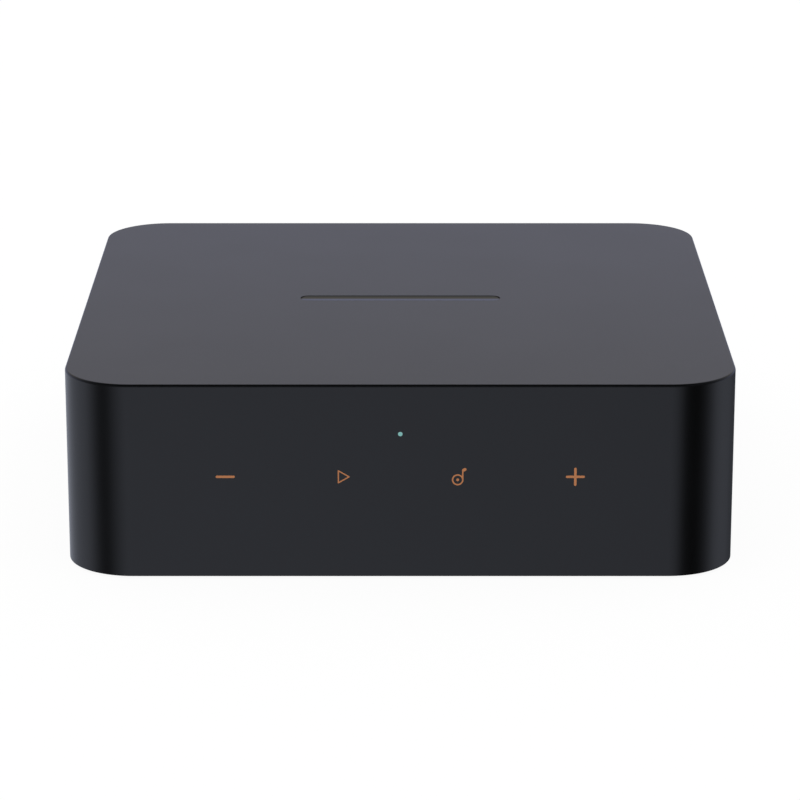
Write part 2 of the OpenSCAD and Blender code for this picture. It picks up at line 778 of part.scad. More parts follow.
module rear_panel() color([0.07, 0.07, 0.075]) difference() {
  union() {
    solid_y(y_rear_inside, y_panel) panel_outline(0, z_shell);
    solid_y(y_panel_inside, y_rear_inside) panel_outline(flange_lap, z_cover_top);
  }
  for (p = all_phonos)
    translate([p[0], 0, p[1]]) rod_y(sleeve_root_r + port_play, y_panel_inside - cut, y_panel + cut);
  for (name = ["optical_out", "optical_in"]) panel_cut(name, optical_w, z_board_top, optical_h);
  panel_cut("network", network_w, z_board_top, network_h);
  translate([port_x("trigger"), 0, z_board_top + trigger_h / 2])
    rod_y(nose_r + port_play, y_panel_inside - cut, y_panel + cut);
  translate([port_x("power"), 0, z_board_top + power_h / 2])
    solid_y(y_panel_inside - cut, y_panel + cut) stroke(power_w + 2 * port_play, power_h + 2 * port_play);
}

// An upright opening in the panel for a socket that stands on the board
module panel_cut(name, width, z_low, height) {
  translate([port_x(name), 0, 0]) block(width + 2 * port_play, y_panel_inside - cut, y_panel + cut,
    z_low - port_play, z_low + height + port_play);
}

// Housing of one phono socket, or of two above each other
module phono_housing(places) color([0.06, 0.06, 0.06]) difference() {
  top = max([for (p = places) p[1]]) + phono_w / 2;
  translate([places[0][0], 0, 0]) block(phono_w, y_panel_inside - phono_d, y_panel_inside, z_board_top, top);
  for (p = places)
    translate([p[0], 0, p[1]]) rod_y(sleeve_root_r + fit, y_sleeve_root, y_panel_inside + cut);
}

module line_out_housing() phono_housing([white_phonos[0], red_phonos[0]]);

module line_in_housing() phono_housing([white_phonos[1], red_phonos[1]]);

module coax_out_housing() phono_housing(coax_phono);

module phono_sleeves() color([0.78, 0.77, 0.74])
  for (p = all_phonos) translate([p[0], 0, p[1]]) difference() {
    union() {
      rod_y(sleeve_root_r, y_sleeve_root, y_panel);
      rod_y(sleeve_r, y_sleeve_root, y_sleeve_mouth);
    }
    rod_y(sleeve_bore_r, y_sleeve_root - cut, y_sleeve_mouth + cut);
  }

module phono_insulators(places) {
  for (p = places) translate([p[0], 0, p[1]]) difference() {
    rod_y(insulator_r, y_sleeve_root, y_sleeve_mouth - insulator_inset);
    rod_y(contact_r + fit, y_sleeve_root - cut, y_sleeve_mouth);
  }
}

module phono_insulators_white() color([0.9, 0.9, 0.88]) phono_insulators(white_phonos);

module phono_insulators_red() color([0.7, 0.08, 0.08]) phono_insulators(red_phonos);

module phono_insulator_coax() color([0.9, 0.45, 0.1]) phono_insulators(coax_phono);

// Tubes with a closed end that take the plug's pin
module phono_contacts() color([0.8, 0.65, 0.3]) {
  mouth = y_sleeve_mouth - insulator_inset - contact_inset;
  for (p = all_phonos) translate([p[0], 0, p[1]]) difference() {
    rod_y(contact_r, y_sleeve_root, mouth);
    rod_y(pin_hole_r, y_sleeve_root + contact_end, mouth + cut);
  }
}

module mouth_outline() {
  half = mouth_w / 2;
  c = mouth_chamfer;
  shoulder = mouth_h - c;
  right_side = [[half, 0], [half, shoulder], [half - c, mouth_h]];
  left_side = [[c - half, mouth_h], [-half, shoulder], [-half, 0]];
  polygon(concat(right_side, left_side));
}

module optical_socket(name) color([0.05, 0.05, 0.05]) translate([port_x(name), 0, 0]) difference() {
  block(optical_w, y_panel - optical_d, y_panel, z_board_top, z_board_top + optical_h);
  block(optical_room_w, y_optical_web, y_panel - mouth_rim, z_mouth, z_optical_ceiling);
  translate([0, 0, z_mouth]) solid_y(y_panel - mouth_rim - cut, y_panel + cut) mouth_outline();
  translate([-shutter_pin_len / 2 - pin_play, y_hinge, z_hinge]) rotate([0, 90, 0])
    cylinder(r = shutter_pin_r + pin_play, h = shutter_pin_len + 2 * pin_play);
  translate([0, 0, element_z]) rod_y(lens_r + fit, y_optical_web - optical_web - cut, y_optical_web + cut);
  block(element_w, y_panel - optical_d - cut, y_optical_web - optical_web,
    element_z - element_h / 2, element_z + element_h / 2);
}

module optical_out_socket() optical_socket("optical_out");

module optical_in_socket() optical_socket("optical_in");

// A flap that hangs on its own pin behind the mouth and swings inwards
module optical_shutter(name) color([0.09, 0.09, 0.09]) translate([port_x(name), 0, 0]) {
  block(shutter_w, y_hinge - shutter_t / 2, y_hinge + shutter_t / 2, z_mouth + shutter_gap, z_hinge);
  translate([-shutter_pin_len / 2, y_hinge, z_hinge]) rotate([0, 90, 0])
    cylinder(r = shutter_pin_r, h = shutter_pin_len);
}

module optical_out_shutter() optical_shutter("optical_out");

module optical_in_shutter() optical_shutter("optical_in");

// A leaf under the ceiling of the socket that bends down on to the back of the shutter
module optical_spring(name) color([0.7, 0.7, 0.7]) translate([port_x(name), 0, 0]) solid_x(leaf_w) {
  reach = 1.2;
  drop = 1;
  root_gap = 2;
  rear = y_optical_web + root_gap;
  tip = y_hinge - shutter_t / 2;
  bend = tip - reach;
  z_tip = z_hinge - drop;
  z = z_optical_ceiling;
  under = z - leaf_t;
  polygon([[rear, z], [bend, z], [tip, z_tip + leaf_t], [tip, z_tip], [bend, under], [rear, under]]);
}

module optical_out_spring() optical_spring("optical_out");

module optical_in_spring() optical_spring("optical_in");

module optical_elements() color([0.5, 0.1, 0.1])
  for (name = ["optical_out", "optical_in"]) translate([port_x(name), 0, 0]) {
    block(element_w, y_panel - optical_d, y_optical_web - optical_web,
      element_z - element_h / 2, element_z + element_h / 2);
    translate([0, 0, element_z]) rod_y(lens_r, y_optical_web - optical_web - fit, y_optical_web);
  }

module trigger_socket() color([0.07, 0.07, 0.07]) {
  thread_end = 0.2;
  y_nose = y_panel + nut_t + thread_end;
  translate([port_x("trigger"), 0, 0]) difference() {
    union() {
      block(trigger_w, y_panel_inside - trigger_d, y_panel_inside, z_board_top, z_board_top + trigger_h);
      translate([0, 0, z_board_top + trigger_h / 2]) rod_y(nose_r, y_panel_inside - cut, y_nose);
    }
    translate([0, 0, z_board_top + trigger_h / 2])
      rod_y(trigger_hole_r, y_nose - trigger_hole_len, y_nose + cut);
  }
}

module trigger_ring_nut() color([0.8, 0.79, 0.76])
  translate([port_x("trigger"), 0, z_board_top + trigger_h / 2]) difference() {
    rod_y(nose_r + fit + nut_band, y_panel, y_panel + nut_t);
    rod_y(nose_r + fit, y_panel - cut, y_panel + nut_t + cut);
  }

module network_socket_shield() color([0.78, 0.78, 0.79]) translate([port_x("network"), 0, 0]) difference() {
  block(network_w, y_panel - network_d, y_panel, z_board_top, z_board_top + network_h);
  block(network_w - 2 * tin_t, y_panel - network_d + tin_t, y_panel + cut,
    z_board_top + tin_t, z_board_top + network_h - tin_t);
}

module network_socket_insert() color([0.06, 0.06, 0.06]) translate([port_x("network"), 0, 0]) difference() {
  z_roof = z_board_top + network_h - tin_t;
  block(network_w - 2 * tin_t, y_panel - network_d + tin_t, y_jack, z_board_top + tin_t, z_roof);
  block(jack_w, y_jack - jack_d, y_jack + cut, z_jack_floor, z_jack_roof);
  for (step = catch_steps)
    block(step[0], y_jack - jack_d, y_jack + cut, z_jack_roof - cut, z_jack_roof + step[1]);
  for (s = [-1, 1]) translate([s * window_x, 0, 0])
    block(window_w, y_jack - window_d, y_jack + cut, z_window, z_window + window_h);
}

module network_lights() color([0.5, 0.8, 0.3])
  for (s = [-1, 1]) translate([port_x("network") + s * window_x, 0, 0])
    block(window_w, y_jack - window_d, y_jack, z_window, z_window + window_h);

// Flat springs that rise from the floor of the opening to its rear wall
module network_contacts() color([0.85, 0.68, 0.3]) {
  y_back = y_jack - jack_d;
  y_tip = y_jack - wire_inset;
  for (i = [0:contact_count - 1])
    translate([port_x("network") + (i - (contact_count - 1) / 2) * contact_pitch, 0, z_jack_floor])
      solid_x(wire_w)
        polygon([[y_back, wire_rise], [y_tip, 0], [y_tip - wire_toe, 0], [y_back, wire_rise - wire_t]]);
}

module power_socket_shell() color([0.75, 0.75, 0.77])
  translate([port_x("power"), 0, z_board_top + power_h / 2])
    solid_y(y_panel - power_d, y_panel) difference() {
      stroke(power_w, power_h);
      stroke(power_w - 2 * power_wall, power_h - 2 * power_wall);
    }

module power_socket_tongue() color([0.08, 0.08, 0.08])
  translate([port_x("power"), 0, z_board_top + power_h / 2]) {
    y_root = y_panel - power_d + power_back;
    solid_y(y_panel - power_d, y_root) stroke(power_w - 2 * power_wall, power_h - 2 * power_wall);
    solid_y(y_root, y_panel - tongue_inset) square([tongue_w, tongue_t], center = true);
  }

upper_shell();
bottom_cover();
rear_panel();
foot_ring();
top_badge();
touch_symbols();
status_light_pipe();
case_screws();
touch_board();
touch_electrodes();
status_led();
touch_board_screws();
touch_flex_cable();
flex_sockets();
main_board();
board_screws();
network_module();
shield_can();
thermal_pad();
heat_sink();
board_chips();
capacitors();
antenna_left();
antenna_right();
antenna_cable_left();
antenna_cable_right();
antenna_plugs();
line_out_housing();
line_in_housing();
coax_out_housing();
phono_sleeves();
phono_insulators_white();
phono_insulators_red();
phono_insulator_coax();
phono_contacts();
optical_out_socket();
optical_in_socket();
optical_out_shutter();
optical_in_shutter();
optical_out_spring();
optical_in_spring();
optical_elements();
trigger_socket();
trigger_ring_nut();
network_socket_shield();
network_socket_insert();
network_contacts();
network_lights();
power_socket_shell();
power_socket_tongue();
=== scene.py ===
# %% [markdown]
# # A network music streamer
# The player is a low black box with round corners, four copper touch keys and a small lit dot on its front, and a
# row of sockets on its rear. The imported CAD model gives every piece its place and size, and stays as a fixed frame.
# Its meshes are coarse, so this lesson builds finer ones in the same places and gives each a finish.
# The frame comes first, because every later step asks it where things are.

import math

import bmesh
import bpy
from mathutils import Matrix, Vector


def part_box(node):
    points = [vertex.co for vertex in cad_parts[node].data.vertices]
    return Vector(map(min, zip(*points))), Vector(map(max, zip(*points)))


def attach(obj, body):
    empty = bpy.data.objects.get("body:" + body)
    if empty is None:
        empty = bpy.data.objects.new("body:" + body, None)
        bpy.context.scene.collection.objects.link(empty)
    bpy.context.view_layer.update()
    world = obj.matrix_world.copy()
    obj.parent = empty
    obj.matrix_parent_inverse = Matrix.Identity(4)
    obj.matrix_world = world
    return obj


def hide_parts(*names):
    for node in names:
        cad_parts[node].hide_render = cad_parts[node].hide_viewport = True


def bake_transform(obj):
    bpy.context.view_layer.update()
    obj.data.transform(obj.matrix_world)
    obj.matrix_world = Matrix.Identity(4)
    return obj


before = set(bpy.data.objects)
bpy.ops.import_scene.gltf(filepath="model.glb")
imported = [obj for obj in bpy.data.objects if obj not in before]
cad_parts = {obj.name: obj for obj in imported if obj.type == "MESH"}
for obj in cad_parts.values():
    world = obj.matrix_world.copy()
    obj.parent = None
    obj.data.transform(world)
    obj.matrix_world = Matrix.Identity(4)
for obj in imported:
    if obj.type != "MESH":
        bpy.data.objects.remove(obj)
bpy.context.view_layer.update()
scene = bpy.context.scene
scene.view_settings.view_transform = "Standard"

# %% [markdown]
# ## Camera
# The picture was taken from in front and a little above, with a long lens. A camera fitted to the outline of the box,
# with its rounded edges, gave the numbers below. The shift is 0.28 pixels, by which the box is off the middle.

# %% Camera
pitch = 16.601
camera_data = bpy.data.cameras.new("camera")
camera_data.sensor_width = 36
camera_data.lens = 157.344
camera_data.shift_x = -0.00035
camera = bpy.data.objects.new("camera", camera_data)
camera.location = (0, -0.7574, 0.24369)
camera.rotation_euler = (math.radians(90 - pitch), 0, 0)
scene.collection.objects.link(camera)
scene.camera = camera
print("camera at", tuple(camera.location), "with a", camera_data.lens, "mm lens")

# %% [markdown]
# ## Writing shaders as sums
# A finish is a tree of nodes. Adding each node and link by hand is slow to read, so one small class stands for a
# socket: sums and products of sockets add Math nodes, and one method adds any other node. Colours go through a Mix
# node, because a Math node would turn them grey.


# %% Shade, a socket that can be added and multiplied
class Shade:
    """One socket of a shader tree. Sums and products of it add Math nodes."""

    def __init__(self, socket):
        self.socket, self.tree = socket, socket.id_data

    def node(self, kind, settings, sockets, out=0):
        """Adds a node: its type, its settings, the values or links of its sockets, and the output to go on with."""
        made = self.tree.nodes.new("ShaderNode" + kind)
        for name, value in settings.items():
            if name == "stops":
                ends = made.color_ramp.elements
                ends[0].position, ends[0].color = value[0]
                ends[1].position, ends[1].color = value[-1]
                for position, tone in value[1:-1]:
                    ends.new(position).color = tone
            else:
                setattr(made, name, value)
        for name, value in sockets.items():
            if isinstance(value, Shade):
                self.tree.links.new(value.socket, made.inputs[name])
            else:
                made.inputs[name].default_value = value
        return Shade(made.outputs[out]) if made.outputs else None

    def other(self, out):
        """Another output of the same node."""
        return Shade(self.socket.node.outputs[out])

    def maths(self, operation, a, b):
        return self.node("Math", {"operation": operation}, {0: a, 1: b})

    def mix(self, low, high):
        """A colour from low, where this mask is 0, to high, where it is 1."""
        return self.node("Mix", {"data_type": "RGBA"}, {0: self, 6: low, 7: high}, 2)

    def between(self, low, high):
        """A soft step of this value: 0 below low and 1 above high."""
        limits = {"Value": self, "From Min": low, "From Max": high}
        return self.node("MapRange", {"interpolation_type": "SMOOTHSTEP"}, limits)

    def __add__(self, other):
        return self.maths("ADD", self, other)

    def __sub__(self, other):
        return self.maths("SUBTRACT", self, other)

    def __rsub__(self, other):
        return self.maths("SUBTRACT", other, self)

    def __mul__(self, other):
        return self.maths("MULTIPLY", self, other)

    __radd__ = __add__
    __rmul__ = __mul__


print("shader sums are ready")

# %% [markdown]
# ## Studio
# Black plastic has almost no colour of its own, so what the eye sees is the room in it: pale panels all round, a dark
# ceiling that draws a thin black line along the top edge, and two dark gaps that draw the bands in the corners.
# Lamps and cards near the box could do that, but they would stand in the way of the other views. Here the surroundings
# themselves have the panels: a ramp by compass direction for what lies below the horizon, a pale rear wall above it,
# and small lights over the front and overhead for the other views. Matt surfaces get plain even light, and the camera
# sees white.

# %% Levels round the compass
panels = (
    (-180, 0.62), (-166, 0.68), (-153, 0.57), (-138, 0.60), (-120, 0.59), (-100, 0.69), (-86, 0.76), (-76, 0.58),
    (-66, 0.30), (-57, 0.10), (-44, 0.10), (-36, 0.30), (-26, 0.55), (-12, 0.84), (-3, 0.825), (3, 0.735), (12, 0.665),
    (20, 0.45), (29, 0.055), (40, 0.0), (54, 0.0), (66, 0.12), (76, 0.335), (90, 0.64), (104, 0.57), (120, 0.36),
    (140, 0.135), (158, 0.05), (168, 0.30), (180, 0.62),
)
panel_tint = (0.94, 1.0, 1.18)


def colour(red, green, blue, level=1.0):
    return (red * level, green * level, blue * level, 1.0)


def grey(level):
    return colour(1, 1, 1, level)


def panel(level):
    return colour(*panel_tint, level)


print(len(panels), "levels round the compass")


# %% Surroundings
def first_shade(owner, kind, out):
    """Empties the node tree of a world or material, adds a node to it, and returns one of that node's outputs."""
    owner.use_nodes = True
    owner.node_tree.nodes.clear()
    return Shade(owner.node_tree.nodes.new("ShaderNode" + kind).outputs[out])


world = bpy.data.worlds.new("studio")
scene.world = world
world.cycles.sampling_method = "NONE"
direction = first_shade(world, "TexCoord", "Generated")
east = direction.node("SeparateXYZ", {}, {"Vector": direction}, "X")
south, height = 0 - east.other("Y"), east.other("Z")
compass = east.maths("ARCTAN2", east, south) * (0.5 / math.pi) + 0.5
stops = [((bearing + 180) / 360, panel(level)) for bearing, level in panels]
ring = compass.node("ValToRGB", {"stops": stops}, {"Fac": compass})
rear_low = height.between(0.14, 0.38).mix(colour(0.416, 0.444, 0.650), colour(0.508, 0.484, 0.428))
rear_wall = height.between(0.42, 0.62).mix(rear_low, panel(0.50))
front_light = height.between(0.15, 0.23) * (1 - height.between(0.29, 0.37))
front_wall = front_light.mix(panel(0.02), panel(0.30))
upper = south.between(-0.5, 0.4).mix(rear_wall, front_wall)
walls = height.between(-0.18, 0.0).mix(ring, upper)
skylight = (0.985 * height - 0.174 * south).between(0.984, 0.996)
ceiling = skylight.mix(grey(0), panel(0.70))
room = height.between(0.86, 0.985).mix(walls, ceiling)
glossy = height.between(-0.82, -0.50).mix(panel(0.10), room)
even = height.between(-1.0, 1.0).mix(grey(0.82), grey(1.1))
seen = direction.node("LightPath", {}, {}, "Is Camera Ray")
shiny = seen.maths("MAXIMUM", seen.other("Is Glossy Ray"), seen.other("Is Transmission Ray"))
light = seen.mix(shiny.mix(even, glossy), grey(1))
back = direction.node("Background", {}, {"Color": light})
direction.node("OutputWorld", {}, {"Surface": back})
print("surroundings of", len(world.node_tree.nodes), "nodes")

# %% [markdown]
# ## Floor
# The floor is plain and pale. It is white to the camera and keeps a soft shadow where the box stands. It is left open
# to all other rays and from underneath, so that the underside can be looked at in the same light.


# %% Floor
def put(name, bm):
    """A new object with this mesh."""
    mesh = bpy.data.meshes.new(name)
    bm.to_mesh(mesh)
    bm.free()
    made = bpy.data.objects.new(name, mesh)
    scene.collection.objects.link(made)
    return made


floor_half, floor_z, shadow_share = 3, -0.0001, 0.06
floor_bm = bmesh.new()
bmesh.ops.create_grid(floor_bm, x_segments=1, y_segments=1, size=floor_half)
bmesh.ops.translate(floor_bm, vec=(0, 0, floor_z), verts=floor_bm.verts)
floor = put("floor", floor_bm)
pale = bpy.data.materials.new("pale_floor")
seen = first_shade(pale, "LightPath", "Is Camera Ray")
under = seen.node("NewGeometry", {}, {}, "Backfacing")
lit = seen.node("BsdfDiffuse", {}, {"Color": grey(shadow_share)})
white = seen.node("Emission", {}, {"Strength": 1 - shadow_share})
paper = seen.node("AddShader", {}, {0: lit, 1: white})
clear = seen.node("BsdfTransparent", {}, {})
open_floor = seen.node("MixShader", {}, {0: seen * (1 - under), 1: clear, 2: paper})
seen.node("OutputMaterial", {}, {"Surface": open_floor})
floor.data.materials.append(pale)
print("floor of", 2 * floor_half, "m with a shadow share of", shadow_share)

# %% [markdown]
# ## Moulded plastics
# Nearly every part that shows is moulded plastic. The mould is spark-eroded, which leaves a fine grain, and the
# plastic flows in with slight clouds of tone and gloss. A picture of grain would blur when looked at closely, so noise
# at the grain's real size in millimetres drives a bump, and a slow noise drives tone and gloss.

# %% Moulded finish
finishes = {}
cloud_size = 24


def new_finish(name):
    """The frame's material of that name, or a new one, made empty, and the socket of its Object coordinates."""
    finishes[name] = bpy.data.materials.get(name) or bpy.data.materials.new(name)
    return first_shade(finishes[name], "TexCoord", "Object")


def surface(place, sockets):
    shader = place.node("BsdfPrincipled", {}, sockets)
    place.node("OutputMaterial", {}, {"Surface": shader})


def noise(place, size, detail=2.0, stretch=None):
    """Noise with spots of a size in millimetres, drawn out along an axis by a stretch."""
    if stretch:
        place = place.node("Mapping", {}, {"Vector": place, "Scale": stretch})
    return place.node("TexNoise", {}, {"Vector": place, "Scale": 1000 / size, "Detail": detail})


def bump(pattern, relief):
    """The normals of a pattern that is as deep as the relief, in millimetres."""
    return pattern.node("Bump", {}, {"Height": pattern, "Strength": 1.0, "Distance": relief / 1000})


def moulded(name, tone, rough, grain, relief, ior=1.46):
    """Grained plastic: its tone, its roughness, and the size and depth of its grain in millimetres."""
    place = new_finish(name)
    clouds, sparks = noise(place, cloud_size, 3.0), noise(place, grain, 3.0)
    base = clouds.mix(colour(*tone, 0.8), colour(*tone, 1.2))
    gloss = rough - 0.03 + 0.05 * clouds + 0.02 * sparks
    surface(place, {"Base Color": base, "Roughness": gloss, "IOR": ior, "Normal": bump(sparks, relief)})


print("grained plastic is ready")

# %% Moulded plastics
moulded("shell_plastic", (0.0022, 0.0023, 0.0025), 0.24, 0.14, 0.0012, ior=1.45)
for row in (
    ("cover_plastic", (0.010, 0.010, 0.011), 0.46, 0.45, 0.02),
    ("panel_plastic", (0.007, 0.007, 0.008), 0.40, 0.32, 0.012),
    ("socket_plastic", (0.008, 0.008, 0.009), 0.34, 0.22, 0.005),
    ("shutter_plastic", (0.014, 0.014, 0.015), 0.36, 0.20, 0.004),
    ("foot_rubber", (0.012, 0.012, 0.012), 0.72, 0.5, 0.03),
    ("white_insulator", (0.72, 0.72, 0.69), 0.36, 0.3, 0.003),
    ("red_insulator", (0.48, 0.012, 0.012), 0.36, 0.3, 0.003),
    ("orange_insulator", (0.72, 0.17, 0.012), 0.36, 0.3, 0.003),
    ("chip_plastic", (0.016, 0.016, 0.017), 0.55, 0.15, 0.006),
    ("ivory_connector", (0.66, 0.60, 0.48), 0.42, 0.3, 0.004),
    ("led_body", (0.75, 0.74, 0.68), 0.40, 0.2, 0.002),
    ("cable_jacket", (0.012, 0.012, 0.013), 0.50, 0.2, 0.006),
    ("optical_element", (0.16, 0.012, 0.010), 0.18, 0.3, 0.001),
    ("thermal_pad", (0.30, 0.36, 0.44), 0.70, 0.6, 0.03),
    ("antenna_board", (0.010, 0.010, 0.011), 0.36, 0.5, 0.004),
    ("ceramic", (0.30, 0.19, 0.11), 0.40, 0.2, 0.002),
):
    moulded(*row)
print(len(finishes), "moulded finishes")

# %% [markdown]
# ## Metals
# Plated sleeves, pressed tin, screws and gold contacts are bare metal. What tells them apart is the colour, the gloss
# and the fine lines that drawing, rolling or turning leaves. Noise that is stretched along one axis gives those lines.


# %% Metal finish
def metal(name, tone, rough, lines=0.12, stretch=(1, 0.08, 1), relief=0.0015):
    """Bare metal: its tone, its roughness, and the size, direction and depth of its fine lines."""
    place = new_finish(name)
    streaks, stains = noise(place, lines, 3.0, stretch), noise(place, 3, 4.0)
    base = stains.mix(colour(*tone, 0.88), colour(*tone, 1.04))
    gloss = rough - 0.05 + 0.06 * stains + 0.06 * streaks
    surface(place, {"Base Color": base, "Metallic": 1.0, "Roughness": gloss, "Normal": bump(streaks, relief)})


metal("nickel", (0.78, 0.75, 0.69), 0.20)
metal("gold_contact", (0.90, 0.62, 0.24), 0.24)
metal("copper_track", (0.78, 0.40, 0.24), 0.30)
metal("spring_steel", (0.60, 0.60, 0.60), 0.26)
metal("tin_plate", (0.70, 0.70, 0.70), 0.30, lines=0.2, stretch=(0.06, 1, 1))
metal("zinc_screw", (0.66, 0.68, 0.72), 0.32, stretch=(1, 1, 1))
metal("black_screw", (0.055, 0.055, 0.06), 0.36, stretch=(1, 1, 1))
metal("heat_sink", (0.62, 0.63, 0.65), 0.36, lines=0.25)
metal("capacitor_can", (0.60, 0.61, 0.64), 0.28, stretch=(1, 1, 0.1))
print(len(finishes), "finishes so far")

# %% [markdown]
# ## Boards, film and foam
# A circuit board is glass cloth under a coloured lacquer, with copper tracks that show through as a paler tone.
# Tracks run side by side, and turn by right angles and half right angles. The borders between the cells of a Voronoi
# pattern do that too, when it measures distance by the larger of X, Y and Z, so lines at even steps from them make the
# tracks. Some cells are filled with copper, and a second pattern sets plated holes, whose middles are painted
# near-black as painted shade inside the hole. The ribbon cable is a clear film over parallel conductors, and the touch
# electrodes are black foam full of cells, whose hollows are painted darker as painted shade.


# %% Circuit boards
def board(name, lacquer, track):
    """Lacquered circuit board: tracks, copper fields, plated holes with painted shade in their middles, a faint weave.
    """
    place = new_finish(name)
    cells = {"Vector": place, "Scale": 85.0}
    near = place.node("TexVoronoi", {"distance": "CHEBYCHEV"}, cells, "Distance")
    far = place.node("TexVoronoi", {"distance": "CHEBYCHEV", "feature": "F2"}, cells, "Distance")
    chance = place.node("SeparateColor", {}, {"Color": near.other("Color")}, "Red")
    from_border = far - near
    lane = place.maths("PINGPONG", 7 * from_border, 0.5).between(0.28, 0.34)
    field = from_border.between(0.42, 0.44)
    copper = lane * (1 - field) * chance.between(0.20, 0.22) + field * chance.between(0.50, 0.52)
    spots = place.node("TexVoronoi", {}, {"Vector": place, "Scale": 420.0}, "Distance")
    plated, hole_shade = 1 - spots.between(0.13, 0.15), 1 - spots.between(0.06, 0.07)
    weave = noise(place, 0.5, 1.0)
    base = plated.mix(copper.mix(colour(*lacquer), colour(*track)), colour(0.70, 0.46, 0.18))
    # painted shade: the middle of each drilled hole is near-black, standing for the shade inside the hole
    tone = hole_shade.mix(base, grey(0.01))
    gloss, raised = 0.30 + 0.1 * weave, bump(copper + 0.15 * weave, 0.03)
    surface(place, {"Base Color": tone, "Metallic": 0.8 * plated, "Roughness": gloss, "IOR": 1.5, "Normal": raised})


board("circuit_board", (0.004, 0.050, 0.022), (0.012, 0.105, 0.045))
board("module_board", (0.005, 0.018, 0.075), (0.014, 0.044, 0.140))
print(len(finishes), "finishes so far")


# %% Ribbon and foam
def patterned(place, pattern, tone, rough, gain, relief=None, **others):
    """A finish whose gloss and relief follow one pattern: its roughness, the gain of that, and its depth."""
    sockets = {"Base Color": tone, "Roughness": rough + gain * pattern, **others}
    if relief:
        sockets["Normal"] = bump(pattern, relief)
    surface(place, sockets)


film = new_finish("flex_film")
wires = film.node("TexWave", {"bands_direction": "X"}, {"Vector": film, "Scale": 320.0, "Distortion": 0.0}, "Fac")
film_tone = wires.between(0.4, 0.6).mix(colour(0.62, 0.62, 0.60), colour(0.42, 0.42, 0.44))
patterned(film, wires, film_tone, 0.28, 0.08, relief=0.04)
foam = new_finish("conductive_foam")
cells = foam.node("TexVoronoi", {}, {"Vector": foam, "Scale": 2200.0}, "Distance")
# painted shade: the hollows of the cells, where the bump is lowest, are darker than the cell walls
patterned(foam, cells, cells.mix(grey(0.006), colour(0.05, 0.05, 0.052)), 0.75, 0.15, relief=0.15)
print(len(finishes), "finishes so far")

# %% [markdown]
# ## Copper keys, the lit dot and the blank bar
# The key marks are a copper-coloured lacquer with a little metal flake in it. The lit dot is a teal light pipe: it
# glows, a little paler towards its rim. The bar on the top is gloss black lacquer with hairline scratches, and blank.

# %% Front and top finishes
copper = new_finish("symbol_copper")
flakes = noise(copper, 0.12)
copper_tone = flakes.mix(colour(0.42, 0.151, 0.048), colour(0.595, 0.243, 0.095))
patterned(copper, flakes, copper_tone, 0.30, 0.2, relief=0.002, Metallic=0.15 + 0.4 * flakes)

dot_z = 0.0314
glow = new_finish("status_light")
glow_place = glow.node("Mapping", {}, {"Vector": glow, "Location": (0, 0, -dot_z)})
glow_flat = glow.node("VectorMath", {"operation": "MULTIPLY"}, {0: glow_place, 1: (1, 0, 1)})
from_middle = glow.node("VectorMath", {"operation": "LENGTH"}, {0: glow_flat}, "Value")
glow_tone = from_middle.between(0.0001, 0.00042).mix(colour(0.14, 0.34, 0.31), colour(0.22, 0.41, 0.40))
glow_sockets = {"Base Color": colour(0.03, 0.10, 0.10), "Roughness": 0.2, "Emission Strength": 0.9}
surface(glow, {**glow_sockets, "Emission Color": glow_tone})

link = new_finish("link_light")
frost = noise(link, 0.2)
patterned(link, frost, frost.mix(colour(0.34, 0.44, 0.16), colour(0.46, 0.56, 0.26)), 0.22, 0.1, IOR=1.5)
gloss_bar = new_finish("badge_gloss")
hairlines = noise(gloss_bar, 0.06, stretch=(0.02, 1, 1))
patterned(gloss_bar, hairlines, hairlines.mix(grey(0.001), grey(0.0025)), 0.05, 0.05, relief=0.0004, IOR=1.28)
ink = new_finish("print_ink")
speckle = noise(ink, 0.15)
patterned(ink, speckle, speckle.mix(grey(0.38), grey(0.48)), 0.55, 0.1)
print(len(finishes), "finishes in all")

# %% [markdown]
# ## Tools for shaping
# All shapes are worked out in millimetres and scaled to metres at the end. Most parts start as a flat outline with
# round corners, which is pulled into a solid, or as a profile that is turned like work on a lathe. Holes are cut with
# the exact Boolean, which is then applied, so that only the finished mesh stays. A cut leaves some corners almost on
# top of each other, and those are merged.

# %% Places and outlines
speck, plane_gap, hard_edge = 0.0002, 0.001, 0.3


def where(node):
    """Lowest and highest corner of a CAD node, in millimetres."""
    low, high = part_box(node)
    return low * 1000, high * 1000


def middle(box):
    return (box[0] + box[1]) / 2


def outline(width, height, radius=0.0, steps=16, upper=False):
    """A flat face in X and Y, with all its corners made round, or only the upper ones."""
    bm = bmesh.new()
    bmesh.ops.create_grid(bm, x_segments=1, y_segments=1, size=0.5)
    bmesh.ops.scale(bm, vec=(width, height, 1), verts=bm.verts)
    if radius:
        corners = [vert for vert in bm.verts if vert.co.y > 0 or not upper]
        bmesh.ops.bevel(bm, geom=corners, offset=radius, affect="VERTICES", segments=steps, profile=0.5, material=-1)
        bmesh.ops.remove_doubles(bm, verts=bm.verts, dist=speck)
    return bm


def pull(bm, faces, vec):
    """Extrudes faces along a vector. Faces inside a closed mesh are taken away, those of a lone sheet stay."""
    closed = not any(edge.is_boundary for face in faces for edge in face.edges)
    made = bmesh.ops.extrude_face_region(bm, geom=faces)["geom"]
    verts = [part for part in made if isinstance(part, bmesh.types.BMVert)]
    bmesh.ops.translate(bm, vec=vec, verts=verts)
    if closed:
        bmesh.ops.delete(bm, geom=faces, context="FACES")
    return [part for part in made if isinstance(part, bmesh.types.BMFace)]


def placed(bm, spot, turn=0.0, axis="Z"):
    """Turns a shape about an axis through the origin, by degrees, and moves it."""
    bmesh.ops.rotate(bm, cent=(0, 0, 0), matrix=Matrix.Rotation(math.radians(turn), 3, axis), verts=bm.verts)
    bmesh.ops.translate(bm, vec=spot, verts=bm.verts)
    return bm


print("tools for outlines are ready")


# %% Solids
def lying(bm, z0, z1, x=0.0, y=0.0):
    """Makes a flat outline solid from z0 to z1."""
    pull(placed(bm, (x, y, z0)), bm.faces[:], (0, 0, z1 - z0))
    return bm


